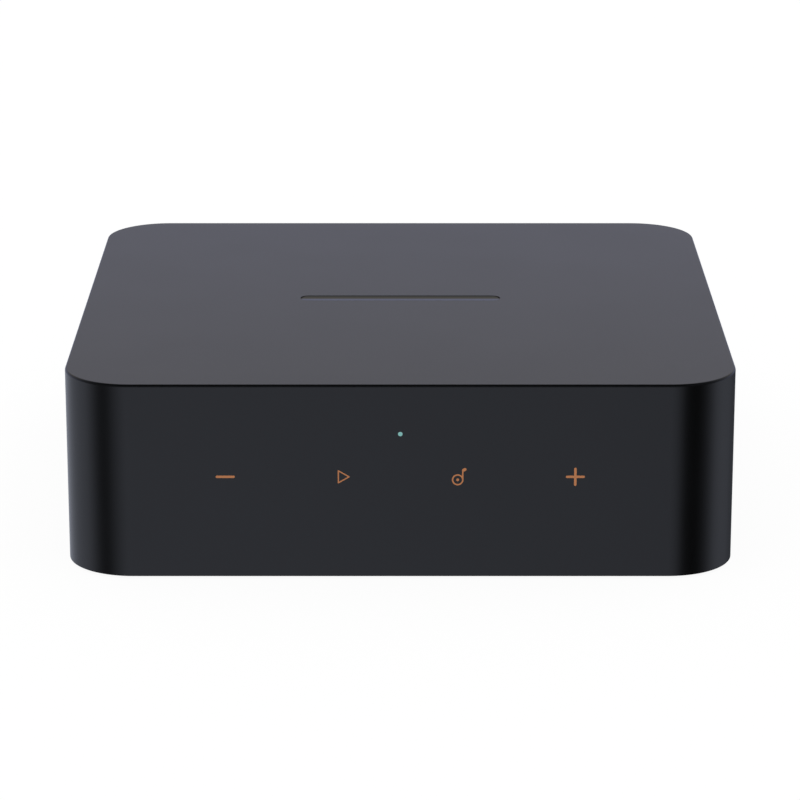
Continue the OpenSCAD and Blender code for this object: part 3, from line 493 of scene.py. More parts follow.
def upright(bm, y0, y1, x=0.0, z=0.0):
    """Stands a flat outline up in X and Z and makes it solid from y0 to y1."""
    pull(placed(bm, (x, y0, z), 90, "X"), bm.faces[:], (0, y1 - y0, 0))
    return bm


def block(low, high):
    """A box between two corners."""
    low, high = Vector(low), Vector(high)
    bm = bmesh.new()
    bmesh.ops.create_cube(bm, size=1)
    bmesh.ops.scale(bm, vec=high - low, verts=bm.verts)
    bmesh.ops.translate(bm, vec=(low + high) / 2, verts=bm.verts)
    return bm


def slab(box, radius, steps):
    """A box with round upright edges."""
    size = box[1] - box[0]
    return lying(outline(size.x, size.y, radius, steps), box[0].z, box[1].z, *middle(box).xy)


print("tools for solids are ready")

# %% Turned work
AXES = {"X": ((1, 0, 0), (0, 0, 1)), "Y": ((0, 1, 0), (1, 0, 0)), "Z": ((0, 0, 1), (1, 0, 0))}


def turned(profile, centre, axis="Y", steps=64):
    """Points of (radius, place along the axis), spun a full turn. A profile off the axis is closed to a ring."""
    along, across = (Vector(v) for v in AXES[axis])
    bm = bmesh.new()
    points = [bm.verts.new(Vector(centre) + radius * across + place * along) for radius, place in profile]
    edges = [bm.edges.new(pair) for pair in zip(points, points[1:])]
    if profile[0][0]:
        edges.append(bm.edges.new((points[-1], points[0])))
    bmesh.ops.spin(
        bm, geom=points + edges, cent=centre, axis=along, angle=2 * math.pi, steps=steps, use_merge=True
    )
    bmesh.ops.remove_doubles(bm, verts=bm.verts, dist=speck)
    bmesh.ops.dissolve_degenerate(bm, edges=bm.edges, dist=speck)
    bmesh.ops.recalc_face_normals(bm, faces=bm.faces)
    return bm


def rod(radius, start, end, centre, axis="Y", steps=32):
    """A round bar between two places along an axis."""
    return turned([(0, start), (radius, start), (radius, end), (0, end)], centre, axis, steps)


def tube(inner, outer, start, end, centre, axis="Z", steps=32):
    """A round tube between two places along an axis."""
    return turned([(inner, start), (outer, start), (outer, end), (inner, end)], centre, axis, steps)


print("tools for turned work are ready")


# %% Edges and faces
def parts_at(parts, axis, value):
    """The edges or faces that lie in one plane across X, Y or Z."""
    i = "XYZ".index(axis)
    return [part for part in parts if all(abs(vert.co[i] - value) < plane_gap for vert in part.verts)]


def soften(bm, edges, width, steps=3):
    """Rounds edges."""
    bmesh.ops.bevel(bm, geom=edges, offset=width, affect="EDGES", segments=steps, profile=0.5, material=-1)
    return bm


def soften_at(bm, axis, value, width, steps=3):
    """Rounds the hard edges that lie in one plane."""
    hard = [edge for edge in parts_at(bm.edges, axis, value) if edge.calc_face_angle(0) > hard_edge]
    return soften(bm, hard, width, steps)


def recess(bm, axis, value, margin, vec):
    """Pushes in the faces that lie in one plane, and leaves a margin round them."""
    faces = parts_at(bm.faces, axis, value)
    bmesh.ops.inset_region(bm, faces=faces, thickness=margin, use_even_offset=True)
    pull(bm, faces, vec)
    return bm


def spread(bm, faces, vec, x=0.0, z=0.0):
    """Scales faces about a point in X and Z."""
    verts = list({vert for face in faces for vert in face.verts})
    bmesh.ops.scale(bm, vec=vec, space=Matrix.Translation((-x, 0, -z)), verts=verts)


print("tools for edges and faces are ready")

# %% Cutting, joining and finishing
smooth_angle = 35


def carve(bm, cutters, operation="DIFFERENCE"):
    """Takes closed shapes out of a closed shape, or joins them to it, and returns the result."""
    for tool in [bm, *cutters]:
        bmesh.ops.recalc_face_normals(tool, faces=tool.faces)
    work = put("work", bm)
    tools = [put("tool", cutter) for cutter in cutters]
    for tool in tools:
        step = work.modifiers.new("cut", "BOOLEAN")
        step.operation, step.solver, step.object = operation, "EXACT", tool
    result = bmesh.new()
    result.from_object(work, bpy.context.evaluated_depsgraph_get())
    for used in [work, *tools]:
        mesh = used.data
        bpy.data.objects.remove(used)
        bpy.data.meshes.remove(mesh)
    bmesh.ops.remove_doubles(result, verts=result.verts, dist=speck)
    bmesh.ops.dissolve_degenerate(result, edges=result.edges, dist=speck)
    return result


def together(shapes):
    """One mesh with several separate shapes in it."""
    both, carrier = bmesh.new(), bpy.data.meshes.new("carrier")
    for shape in shapes:
        bmesh.ops.recalc_face_normals(shape, faces=shape.faces)
        shape.to_mesh(carrier)
        both.from_mesh(carrier)
        shape.free()
    bpy.data.meshes.remove(carrier)
    return both


def each(shape, places):
    """One mesh with a shape at each of several places."""
    return together([shape(*place) for place in places])


def piece(name, bm, finish, nodes=(), body="housing"):
    """Scales a shape to metres, shades it smooth between hard edges, and puts it in the place of CAD nodes."""
    bmesh.ops.scale(bm, vec=(0.001, 0.001, 0.001), verts=bm.verts)
    made = put(name, bm)
    made.data.materials.append(finishes[finish])
    made.data.shade_smooth()
    made.data.set_sharp_from_angle(angle=math.radians(smooth_angle))
    even_normals = made.modifiers.new("even_normals", "WEIGHTED_NORMAL")
    even_normals.keep_sharp = True
    if body:
        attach(made, body)
    if nodes:
        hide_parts(*nodes)
    print(f"{name}: {len(made.data.polygons)} faces for {', '.join(nodes) or 'no node'}")
    return made


print("tools for cutting, joining and finishing are ready")

# %% [markdown]
# ## Key marks
# Minus, play, note and plus are inlaid in the front wall. Each is made of strokes with round ends, and the note of a
# ring, a dot, a stem and a flag, which are joined into one solid. The same solids are needed twice, once to cut the
# pockets in the wall and once for the marks, so one function makes them for a given depth.


# %% Flat shapes
def hollow(bm, line):
    """Leaves only a line along the border of a flat face."""
    bm.normal_update()
    inner = bm.faces[:]
    bmesh.ops.inset_region(bm, faces=inner, thickness=line, use_even_offset=True, use_boundary=True)
    bmesh.ops.delete(bm, geom=inner, context="FACES")
    return bm


def disc(radius, steps=48):
    bm = bmesh.new()
    bmesh.ops.create_circle(bm, cap_ends=True, segments=steps, radius=radius)
    return bm


def moved(bm, x, y, turn=0.0):
    """Turns a flat shape and moves it in its plane."""
    return placed(bm, (x, y, 0), turn)


def stroke(start, end, width, round_ends=True):
    """A flat stroke between two points, with round or square ends."""
    way, centre = Vector(end) - Vector(start), (Vector(start) + Vector(end)) / 2
    turn = math.degrees(math.atan2(way.y, way.x))
    flat = outline(way.length + width, width, width / 2, 10) if round_ends else outline(way.length, width)
    return moved(flat, *centre, turn)


def joined(flats, y0, y1, x, z):
    """One upright solid from y0 to y1 that joins flat shapes."""
    first, *others = [upright(flat, y0, y1, x, z) for flat in flats]
    return carve(first, others, "UNION")


print("tools for flat shapes are ready")

# %% Key marks
shell_low, shell_high = where("upper_shell")
front, rear, top = shell_low.y, shell_high.y, shell_high.z
marks_back = where("touch_symbols")[1].y
key_z, key_x = 22.2, (-36.15, -12.05, 12.05, 36.15)
stroke_len, stroke_w, line_w, play_w = 3.95, 0.52, 0.3, 0.26


def key_marks(y0, y1):
    """A solid for each key mark."""
    arm = (stroke_len - stroke_w) / 2
    across, upwards = ((-arm, 0), (arm, 0)), ((0, -arm), (0, arm))
    play = [(-0.733, -1.3), (-0.733, 1.3), (1.467, 0)]
    sides = [stroke(play[i - 1], play[i], play_w, round_ends=False) for i in range(3)]
    ring_x, ring_y = -0.2, -0.65
    note = [
        moved(hollow(disc(1.2, 64), line_w), ring_x, ring_y), moved(outline(line_w, 2.1), ring_x + 1.05, ring_y + 1.05),
        stroke((1.01, 1.45), (1.31, 1.584), 0.62), moved(disc(line_w, 32), ring_x, ring_y),
    ]
    marks = [
        [stroke(*across, stroke_w)],
        sides + [moved(disc(play_w / 2, 32), *corner) for corner in play],
        note,
        [stroke(*across, stroke_w), stroke(*upwards, stroke_w)],
    ]
    return [joined(flats, y0, y1, x, key_z) for x, flats in zip(key_x, marks)]


piece("key_marks", together(key_marks(front + 0.004, marks_back - 0.005)), "symbol_copper", ["touch_symbols"])

# %% [markdown]
# ## Upper shell
# The top and the four walls are one moulding. It starts as a rounded square that is pulled up, and the underside is
# inset and pushed up to leave a wall. The thin dark line along the top edge shows a round of about half a millimetre
# that is higher than it is deep, so the block is squashed while the edge is rounded, and then drawn out again. The
# lower edge comes 0.07 mm nearer to the shelf than in the CAD model, as the picture shows. A notch in the rear wall
# takes the socket panel, and shallow pockets take the marks, the light and the bar. Posts for screws are joined on.

# %% Upper shell
corner_r, wall, roof, low_edge = 14.3, 2.2, 2.2, 0.2
edge_depth, edge_height = 0.38, 0.62
shell_z = shell_low.z - 0.07
notch_w, notch_top, corner_small = 108.4, 37.6, 3
cover_top, post_top, touch_post_x, touch_post_y = 3.3, 40.2, 43.95, (-68.5, -64.8)
screw_places = [(x, y) for x in (-61.3, 61.3) for y in (-61.3, 61.3)]
badge_low, badge_high = where("top_badge")
badge_w, badge_y = badge_high.y - badge_low.y, (badge_low.y + badge_high.y) / 2
pipe_low, pipe_high = where("status_light_pipe")
light_z, collar_r = (pipe_low.z + pipe_high.z) / 2, (pipe_high.x - pipe_low.x) / 2
light_r = collar_r - 0.8


def bar(grow, z0, z1):
    """The blank bar on the top, or its pocket."""
    length, width = badge_high.x - badge_low.x + 2 * grow, badge_w + 2 * grow
    return lying(outline(length, width, width / 2, 20), z0, z1, 0, badge_y)


def box_shell():
    """The moulding before anything is cut out of it."""
    size, squash = shell_high - shell_low, edge_depth / edge_height
    bm = lying(outline(size.x, size.y, corner_r, 32), shell_z, top)
    bmesh.ops.scale(bm, vec=(1, 1, squash), verts=bm.verts)
    soften_at(bm, "Z", top * squash, edge_depth, 8)
    bmesh.ops.scale(bm, vec=(1, 1, 1 / squash), verts=bm.verts)
    soften_at(bm, "Z", shell_z, low_edge, 4)
    return recess(bm, "Z", shell_z, wall - low_edge, (0, 0, top - roof - shell_z))


notch = outline(notch_w, notch_top + 1, corner_small, 10, upper=True)
upright(notch, rear - wall - 1, rear + 1, 0, (notch_top - 1) / 2)
light_hole = rod(light_r + 0.05, front - 1, front + 3, (0, 0, light_z))
pockets = key_marks(front - 1, marks_back)
shell_bm = carve(box_shell(), [notch, light_hole, bar(0.03, badge_low.z, top + 1), *pockets])
posts = [tube(1.5, 3.6, cover_top, post_top, (x, y, 0)) for x, y in screw_places]
posts += [tube(1.0, 2.6, *touch_post_y, (x, 0, key_z), "Y") for x in (-touch_post_x, touch_post_x)]
piece("upper_shell_moulding", carve(shell_bm, posts, "UNION"), "shell_plastic", ["upper_shell"])

# %% [markdown]
# ## Lit dot and blank bar
# The light pipe is turned: a slightly domed tip that fills its hole in the wall, and a collar behind the wall. The bar
# is pulled from a stroke with round ends. A large cylinder then hollows its top by a fifth of a millimetre, so that
# the gloss runs from light to dark across it.

# %% Lit dot and blank bar
pipe = [(0, front), (light_r / 2, front + 0.01), (light_r - 0.1, front + 0.03), (light_r, front + 0.1)]
pipe += [(light_r, front + wall), (collar_r, front + wall), (collar_r, pipe_high.y), (0, pipe_high.y)]
piece("status_dot", turned(pipe, (0, 0, light_z), steps=32), "status_light", ["status_light_pipe"])

dish = 0.2
dish_r = (badge_w / 2) ** 2 / (2 * dish)
dish_tool = rod(dish_r, -40, 40, (0, badge_y, top - dish + dish_r), "X", 512)
piece("blank_bar", carve(bar(0, badge_low.z + 0.01, top), [dish_tool]), "badge_gloss", ["top_badge"])

# %% [markdown]
# ## Underside
# A cover closes the box from below. A rubber ring stands in a groove of it, a shallow blank field takes a label, and
# four screws sit in stepped holes. The cover is one plate from which those shapes are cut with shaped tools, because
# a cone on the tool leaves the small chamfer that a mould has. The ring is a hollow outline with soft lower edges and
# a groove along its middle that grips the shelf.

# %% Bottom cover
cover_low, cover_high = where("bottom_cover")
cover_z, cover_w, cover_r = cover_low.z, 135, 11.8
ring_w, ring_r, ring_line = 106, 26, 7
stand_places = [(x, y) for x in (-51.7, 51.7) for y in (-25.7, 44.6)]


def foot(grow, z0, z1):
    """The rubber ring, or the groove it stands in."""
    width = ring_w + 2 * grow
    return lying(hollow(outline(width, width, ring_r + grow, 32), ring_line + 2 * grow), z0, z1)


def screw_seat(x, y):
    """A stepped hole with a chamfered mouth."""
    profile = [(0, cover_z - 1), (4.2, cover_z - 1), (3.0, cover_z + 0.2), (3.0, 2.2)]
    profile += [(1.65, 2.2), (1.65, cover_top + 1), (0, cover_top + 1)]
    return turned(profile, (x, y, 0), "Z", 48)


cover_bm = soften_at(lying(outline(cover_w, cover_w, cover_r, 24), cover_z, cover_top), "Z", cover_z, 0.3, 3)
label = lying(outline(58, 34, 1.5, 8), cover_z - 1, cover_z + 0.2)
seats = [screw_seat(x, y) for x, y in screw_places]
cover_bm = carve(cover_bm, [foot(0.1, cover_z - 1, cover_z + 1), label, *seats])
stands = [tube(1.25, 3, cover_top - 0.5, cover_high.z, (x, y, 0)) for x, y in stand_places]
piece("bottom_cover_plate", carve(cover_bm, stands, "UNION"), "cover_plastic", ["bottom_cover"])

# %% Foot ring and case screws
ring_low, ring_high = where("foot_ring")
ring_bm = soften_at(foot(0, ring_low.z, ring_high.z), "Z", ring_low.z, 0.6, 4)
piece("rubber_foot", recess(ring_bm, "Z", ring_low.z, 1.6, (0, 0, 0.3)), "foot_rubber", ["foot_ring"])

screw_low, screw_high = where("case_screws")


def crossed(x, y, long, thin, z0, z1):
    """Two crossed bars, as tools to cut with."""
    return [block((x - w, y - d, z0), (x + w, y + d, z1)) for w, d in ((long, thin), (thin, long))]


def case_screw(x, y):
    """A pan head with a cross in it, and a plain shank."""
    z0, z1 = screw_low.z, screw_high.z
    profile = [(0, z0), (2.1, z0), (2.5, z0 + 0.1), (2.75, z0 + 0.35), (2.8, z0 + 0.6), (2.8, z0 + 1.2)]
    profile += [(1.45, z0 + 1.2), (1.45, z1 - 0.6), (0.9, z1), (0, z1)]
    return carve(turned(profile, (x, y, 0), "Z", 48), crossed(x, y, 1.7, 0.42, z0 - 1, z0 + 0.75))


piece("cover_screws", each(case_screw, screw_places), "black_screw", ["case_screws"])

# %% [markdown]
# ## Socket panel
# The panel slides up into the notch of the rear wall, and a flange behind it laps the wall. It is made from two
# upright plates that are joined, with a fine rib near each lower corner that centres it in the notch, and each socket
# gets its own opening. The tools for the openings flare out at the face, which leaves a fine chamfer on every rim that
# catches the light.

# %% Places of the sockets
ports = {name: middle(where(name)) for name in (
    "line_out_housing", "line_in_housing", "coax_out_housing", "optical_out_socket", "optical_in_socket",
    "trigger_socket", "network_socket_shield", "power_socket_shell")}
out_x, in_x, coax_x, light_out_x, light_in_x, trigger_x, net_x, power_x = (port.x for port in ports.values())
board_low, board_high = where("main_board")
board_top = board_high.z
low_z, high_z = board_top + 7, where("line_out_housing")[1].z - 6
trigger_z, power_z = board_top + 3, ports["power_socket_shell"].z
white_places, red_places = [(out_x, high_z), (in_x, high_z)], [(out_x, low_z), (in_x, low_z)]
phono_places = [*white_places, *red_places, (coax_x, low_z)]
print(len(ports), "sockets from", round(out_x, 1), "to", round(power_x, 1), "mm")

# %% Socket panel
panel_low, panel_high = where("rear_panel")
face_y, flange_y, face_low, flange_top = panel_high.y, panel_low.y, panel_low.z, panel_high.z
face_w, face_top, flange_w, lip = 108, 37.4, 111, 0.5
rib_x, rib_y0, rib_y1, rib_top = 54.09, 68.2, 69.4, 3


def opening(width, height, radius, x, z, y0, y1, flare=0.15, steps=6, upper=False):
    """A tool for an opening from y0 to the face at y1, which flares out there."""
    bm = upright(outline(width, height, radius, steps, upper), y0, y1 - flare, x, z)
    mouth = pull(bm, parts_at(bm.faces, "Y", y1 - flare), (0, lip, 0))
    spread(bm, mouth, ((width + 2 * lip) / width, 1, (height + 2 * lip) / height), x, z)
    return bm


def bore(radius, x, z, y0, y1, flare=0.15):
    """A round tool from y0 to the face at y1, which flares out there."""
    profile = [(0, y0), (radius, y0), (radius, y1 - flare), (radius + lip, y1 - flare + lip), (0, y1 - flare + lip)]
    return turned(profile, (x, 0, z))


def panel_plate(width, low, high, y0, y1):
    """An upright plate with round upper corners."""
    return upright(outline(width, high - low, corner_small, 10, upper=True), y0, y1, 0, (high + low) / 2)


plate = soften_at(panel_plate(face_w, face_low, face_top, flange_y + 0.5, face_y), "Y", face_y, 0.2, 3)
panel_bm = carve(plate, [panel_plate(flange_w, cover_top, flange_top, flange_y, flange_y + 1.2)], "UNION")
ribs = [block((x - 0.1, rib_y0, face_low + 0.1), (x + 0.1, rib_y1, rib_top)) for x in (-rib_x, rib_x)]
reach = (flange_y - 1, face_y)
holes = [bore(4.65, x, z, *reach) for x, z in phono_places]
holes += [opening(10.2, 10.6, 0.3, x, board_top + 5.1, *reach) for x in (light_out_x, light_in_x)]
holes.append(opening(16.4, 13.8, 0.3, net_x, board_top + 6.7, *reach))
holes.append(bore(2.8, trigger_x, trigger_z, *reach))
holes.append(opening(9.34, 3.66, 1.82, power_x, power_z, *reach, steps=16))
piece("socket_panel", carve(carve(panel_bm, ribs, "UNION"), holes), "panel_plastic", ["rear_panel"])

# %% [markdown]
# ## Printed signs
# Pad-printed signs tell the sockets apart. Only plain signs that any player might carry are used, and no letters: an
# arrow that leaves or enters a bar, rings for the coaxial socket, a star for light, a pulse, a tree of boxes for the
# network and the line over dashes for direct current. Each is a flat outline a few hundredths of a millimetre thick.


# %% Printed signs
def bars(*rows):
    """Flat bars of (width, height, x, y)."""
    return [moved(outline(width, height), x, y) for width, height, x, y in rows]


def arrow(inwards):
    """A triangle and a bar: the bar is behind the arrow of an output and in front of that of an input."""
    bm = bmesh.new()
    bm.faces.new([bm.verts.new((x, y, 0)) for x, y in ((-1.1, -0.55), (1.1, -0.55), (0, 1.05))])
    return [bm, *bars((2.2, 0.35, 0, 1.45 if inwards else -1.05))]


def star():
    """A disc with eight rays."""
    turns = [k * math.pi / 4 for k in range(8)]
    rays = [moved(outline(0.3, 0.8), 1.15 * math.sin(a), 1.15 * math.cos(a), -math.degrees(a)) for a in turns]
    return [disc(0.55, 32), *rays]


pulse = bars((0.3, 2.0, -0.7, -0.15), (0.3, 2.0, 0.7, -0.15), (1.7, 0.3, 0, 1), (1, 0.3, -1.35, -1), (1, 0.3, 1.35, -1))
tree = [moved(hollow(outline(1.3, 1.0), 0.25), x, y) for x, y in ((0, 1.2), (-1.5, -1.2), (1.5, -1.2))]
tree += bars((0.25, 0.7, 0, 0.4), (3.25, 0.25, 0, -0.05), (0.25, 0.7, -1.5, -0.4), (0.25, 0.7, 1.5, -0.4))
direct = bars((3.2, 0.35, 0, 0.4), (0.8, 0.35, -1.2, -0.4), (0.8, 0.35, 0, -0.4), (0.8, 0.35, 1.2, -0.4))
arrow_z, star_x = 23.4, 1.9
signs = [
    (arrow(False), out_x, arrow_z), (arrow(True), in_x, arrow_z),
    ([hollow(disc(1.35), 0.3), disc(0.5, 32)], coax_x, 24.2),
    (star(), light_out_x - star_x, arrow_z), (arrow(False), light_out_x + star_x, arrow_z),
    (star(), light_in_x - star_x, arrow_z), (arrow(True), light_in_x + star_x, arrow_z),
    (pulse, trigger_x, 19.4), (tree, net_x, 26.6), (direct, power_x, 16.4),
]
signs += [([hollow(outline(12.7, 26.6, 2.4, 12), 0.22)], x, (high_z + low_z) / 2) for x in (out_x, in_x)]
prints = [joined(flats, face_y - 0.02, face_y + 0.03, x, z) for flats, x, z in signs]
piece("printed_signs", together(prints), "print_ink")

# %% [markdown]
# ## Phono sockets
# Five phono sockets stick out of the panel. Each is a turned nickel sleeve with a rolled mouth, a coloured insulator in
# it, and a gold tube with four slits that springs on to the plug's pin. All of them are round, so each is one profile
# that is spun about the socket's axis.

# %% Phono sockets
root_y, mouth_y = where("phono_sleeves")[0].y, where("phono_sleeves")[1].y


def sleeve(x, z):
    m = mouth_y
    outside = [(3.6, root_y), (4.45, root_y), (4.45, face_y - 0.1), (4.35, face_y), (4.15, face_y + 0.02)]
    ridge = [(4.15, face_y + 0.9), (4.02, face_y + 1.0), (4.02, face_y + 1.5), (4.15, face_y + 1.6)]
    mouth = [(4.15, m - 0.3), (4.11, m - 0.13), (4.0, m - 0.03), (3.88, m), (3.75, m - 0.03), (3.64, m - 0.13)]
    return turned([*outside, *ridge, *mouth, (3.6, m - 0.3)], (x, 0, z))


def insulator(x, z):
    m = mouth_y - 0.7
    profile = [(1.95, root_y), (3.55, root_y), (3.55, m - 0.15), (3.4, m), (3.1, m), (2.7, m - 0.25), (2.3, m - 0.3)]
    return turned([*profile, (2.05, m - 0.3), (1.95, m - 0.4)], (x, 0, z))


def contact(x, z):
    m = mouth_y - 1.7
    profile = [(0, root_y), (1.9, root_y), (1.9, m - 0.15), (1.78, m), (1.7, m), (1.6, m - 0.12)]
    pin_tube = turned([*profile, (1.6, root_y + 1), (0, root_y + 1)], (x, 0, z), steps=48)
    slits = [block((x - w, m - 5, z - h), (x + w, m + 1, z + h)) for w, h in ((3, 0.14), (0.14, 3))]
    return carve(pin_tube, slits)


piece("nickel_sleeves", each(sleeve, phono_places), "nickel", ["phono_sleeves"])
for name, places, finish in (
    ("phono_insulators_white", white_places, "white_insulator"), ("phono_insulators_red", red_places, "red_insulator"),
    ("phono_insulator_coax", [(coax_x, low_z)], "orange_insulator"),
):
    piece(name + "_rings", each(insulator, places), finish, [name])
piece("pin_contacts", each(contact, phono_places), "gold_contact", ["phono_contacts"])

# %% [markdown]
# ## Optical sockets
# Each optical socket is a small square housing with a mouth whose upper corners are cut off, so that the plug goes in
# one way only. A flap hangs on a pin behind the mouth and keeps dust out. It swings inwards with the plug, so it rides
# on its own body, and the steel leaf that pushes it shut is a strip bent between the housing and the flap.

# %% Optical housing and flap
hinge_y, hinge_z, flap_half = 68.15, 18.1, 0.4
lens_z, room_y, room_low, room_high = 13.75, 57.4, 10.7, 16.8


def optical_housing(low, high):
    x = middle((low, high)).x
    bm = soften_at(block(low, high), "Y", high.y, 0.15, 2)
    mouth = opening(7.6, 6.9, 1.2, x, low.z + 0.8 + 3.45, high.y - 1.9, high.y, 0.25, 1, upper=True)
    hollow_in = block((x - 4.1, high.y - 11.3, low.z + 0.8), (x + 4.1, high.y - 0.9, high.z - 0.8))
    pin = rod(0.45, -4.8, 4.8, (x, hinge_y, hinge_z), "X", 24)
    lens = rod(1.25, room_y - 1.4, room_y + 1.6, (x, 0, lens_z))
    back_room = block((x - 2.55, low.y - 1, room_low), (x + 2.55, room_y, room_high))
    return carve(bm, [hollow_in, mouth, pin, lens, back_room])


def optical_flap(low, high):
    x, outer = middle((low, high)).x, hinge_y + flap_half
    bm = block((x - 3.85, hinge_y - flap_half, low.z), (x + 3.85, outer, hinge_z))
    recess(bm, "Y", outer, 0.9, (0, -0.15, 0))
    soften(bm, [edge for edge in bm.edges if edge.calc_face_angle(0) > 1], 0.07, 2)
    pin = [(0, -4.75), (0.32, -4.75), (0.4, -4.67), (0.4, 4.67), (0.32, 4.75), (0, 4.75)]
    return carve(bm, [turned(pin, (x, hinge_y, hinge_z), "X", 32)], "UNION")


print("flaps hang at", hinge_z, "mm")


# %% Leaf springs
def bent_strip(path, x, width, thickness):
    """A strip of metal along a line of (y, z) points, with a width about x."""
    bm = bmesh.new()
    points = [bm.verts.new((x - width / 2, y, z)) for y, z in path]
    edges = [bm.edges.new(pair) for pair in zip(points, points[1:])]
    strip = bmesh.ops.extrude_edge_only(bm, edges=edges)["geom"]
    far = [part for part in strip if isinstance(part, bmesh.types.BMVert)]
    bmesh.ops.translate(bm, vec=(width, 0, 0), verts=far)
    bmesh.ops.recalc_face_normals(bm, faces=bm.faces)
    bmesh.ops.solidify(bm, geom=bm.faces[:], thickness=thickness)
    return bm


def leaf_spring(low, high):
    """A strip under the roof of the socket that turns down on to the flap."""
    path = [(low.y, 18.825), (65.4, 18.825), (66.2, 18.80), (66.55, 18.70), (66.85, 18.46), (67.15, 18.08)]
    path += [(67.45, 17.68), (high.y - 0.05, 17.22)]
    return bent_strip(path, middle((low, high)).x, high.x - low.x, 0.13)


for way, x in (("out", light_out_x / 1000), ("in", light_in_x / 1000)):
    socket, shutter, spring = (f"optical_{way}_{part}" for part in ("socket", "shutter", "spring"))
    piece(f"optical_{way}_housing", optical_housing(*where(socket)), "socket_plastic", [socket])
    piece(f"optical_{way}_flap", optical_flap(*where(shutter)), "shutter_plastic", [shutter], f"shutter_{way}")
    leaf = piece(f"optical_{way}_leaf", leaf_spring(*where(spring)), "spring_steel", [spring], None)
    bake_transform(leaf)

# %% [markdown]
# ## Trigger socket
# The small round socket is held by a ring nut with four slots for its key. The nut and the nose are turned, and the
# slots are cut with blocks.

# %% Trigger socket
trigger_low, trigger_high = where("trigger_socket")
nose_y, body_y = trigger_high.y, 66.6
thread = [(2.6 - 0.09 * (k % 2), 66.8 + 0.15 * k) for k in range(25)]
nose = turned([(0, 66.0), (2.5, 66.0), *thread, (2.5, nose_y), (0, nose_y)], (trigger_x, 0, trigger_z))
body = soften_at(block(trigger_low, (trigger_high.x, body_y, trigger_high.z)), "Y", body_y, 0.15, 2)
hole = bore(1.8, trigger_x, trigger_z, nose_y - 13, nose_y, 0.25)
piece("trigger_jack", carve(carve(body, [nose], "UNION"), [hole]), "socket_plastic", ["trigger_socket"])

y0, y1 = (corner.y for corner in where("trigger_ring_nut"))
nut = [(2.65, y0), (3.7, y0), (3.75, y0 + 0.05), (3.75, y1 - 0.15), (3.6, y1), (2.8, y1), (2.65, y1 - 0.15)]
keyways = [
    placed(block((2.9, y1 - 0.45, -0.35), (4.5, y1 + 1, 0.35)), (trigger_x, 0, trigger_z), 45 + 90 * k, "Y")
    for k in range(4)
]
nut_bm = carve(turned(nut, (trigger_x, 0, trigger_z), steps=96), keyways)
piece("ring_nut", nut_bm, "nickel", ["trigger_ring_nut"])

# %% [markdown]
# ## Network socket
# A pressed tin shield wraps a black insert. The insert's opening steps in above for the plug's catch, two windows
# show link lights, and eight gold springs rise from its floor. The springs are strips that are bent along a line, so
# the same way as for the leaf spring is used for each.

# %% Network socket
tin_t = 0.3
net_low, net_high = where("network_socket_shield")
tin = block(net_low, net_high)
soften(tin, [edge for edge in tin.edges if edge.verts[0].co.y != edge.verts[1].co.y], 0.35, 3)
inside = block(net_low + Vector((tin_t, tin_t, tin_t)), net_high + Vector((-tin_t, 1, -tin_t)))
piece("tin_shield", carve(tin, [inside]), "tin_plate", ["network_socket_shield"])

insert_low, insert_high = where("network_socket_insert")
light_low, light_high = where("network_lights")
jack_y, jack_floor, jack_h, window_half, lens_gap = insert_high.y, 11.4, 6.8, 1.1, 0.02
window_x = net_x - light_low.x - window_half


def jack_tool(width, height, low, flare):
    return opening(width, height, 0, net_x, low + height / 2, jack_y - 12.5, jack_y, flare)


def window(side, gap, y1):
    """A block in the place of a link light, with a gap round it."""
    x, half = net_x + side * window_x, window_half - gap
    return block((x - half, jack_y - 2 + gap, light_low.z + gap), (x + half, y1, light_high.z - gap))


insert = soften_at(block(insert_low, insert_high), "Y", jack_y, 0.1, 2)
jack_top = jack_floor + jack_h
tools = [jack_tool(11.8, jack_h, jack_floor, 0.3)]
tools += [jack_tool(width, height, jack_top - 1, 0.1) for width, height in ((6.4, 2.5), (3.6, 3.9))]
tools += [window(side, 0, jack_y + 1) for side in (-1, 1)]
piece("plug_insert", carve(insert, tools), "socket_plastic", ["network_socket_insert"])

lens_y = jack_y - lens_gap
lenses = [soften_at(window(side, lens_gap, lens_y), "Y", lens_y, 0.2, 3) for side in (-1, 1)]
piece("link_windows", together(lenses), "link_light", ["network_lights"])

depths = ((2.05, 11.55), (2.5, 11.52), (3, 11.58), (3.6, 11.72), (4.6, 11.92), (8, 12.5), (11, 13), (12.4, 13.14))
wire = [(jack_y - depth, z) for depth, z in depths]
springs = [bent_strip(wire, net_x + (k - 3.5) * 1.02, 0.38, 0.16) for k in range(8)]
piece("plug_springs", together(springs), "gold_contact", ["network_contacts"])

# %% [markdown]
# ## Power socket
# The power socket is an oval tin tube with a flat tongue in it. The tongue carries fine gold pads on both sides.

# %% Power socket
power_low, power_high = where("power_socket_shell")
oval = upright(hollow(outline(8.94, 3.26, 1.63, 16), 0.3), power_low.y, power_high.y, power_x, power_z)
piece("power_tube", together([soften_at(oval, "Y", power_high.y, 0.08, 2)]), "tin_plate", ["power_socket_shell"])

y0, y1 = (corner.y for corner in where("power_socket_tongue"))
stem = upright(outline(8.3, 2.62, 1.3, 16), y0, y0 + 2, power_x, power_z)
tongue = block((power_x - 3.35, y0 + 1.5, power_z - 0.35), (power_x + 3.35, y1, power_z + 0.35))
tongue_bm = carve(stem, [soften_at(tongue, "Y", y1, 0.12, 2)], "UNION")
piece("power_tongue", tongue_bm, "socket_plastic", ["power_socket_tongue"])
pads = [
    block((x - 0.13, y0 + 2.6, power_z + z0), (x + 0.13, y1 - 0.35, power_z + z1))
    for x in [power_x + (k - 5.5) * 0.5 for k in range(12)] for z0, z1 in ((0.33, 0.375), (-0.375, -0.33))
]
piece("power_pads", together(pads), "gold_contact")

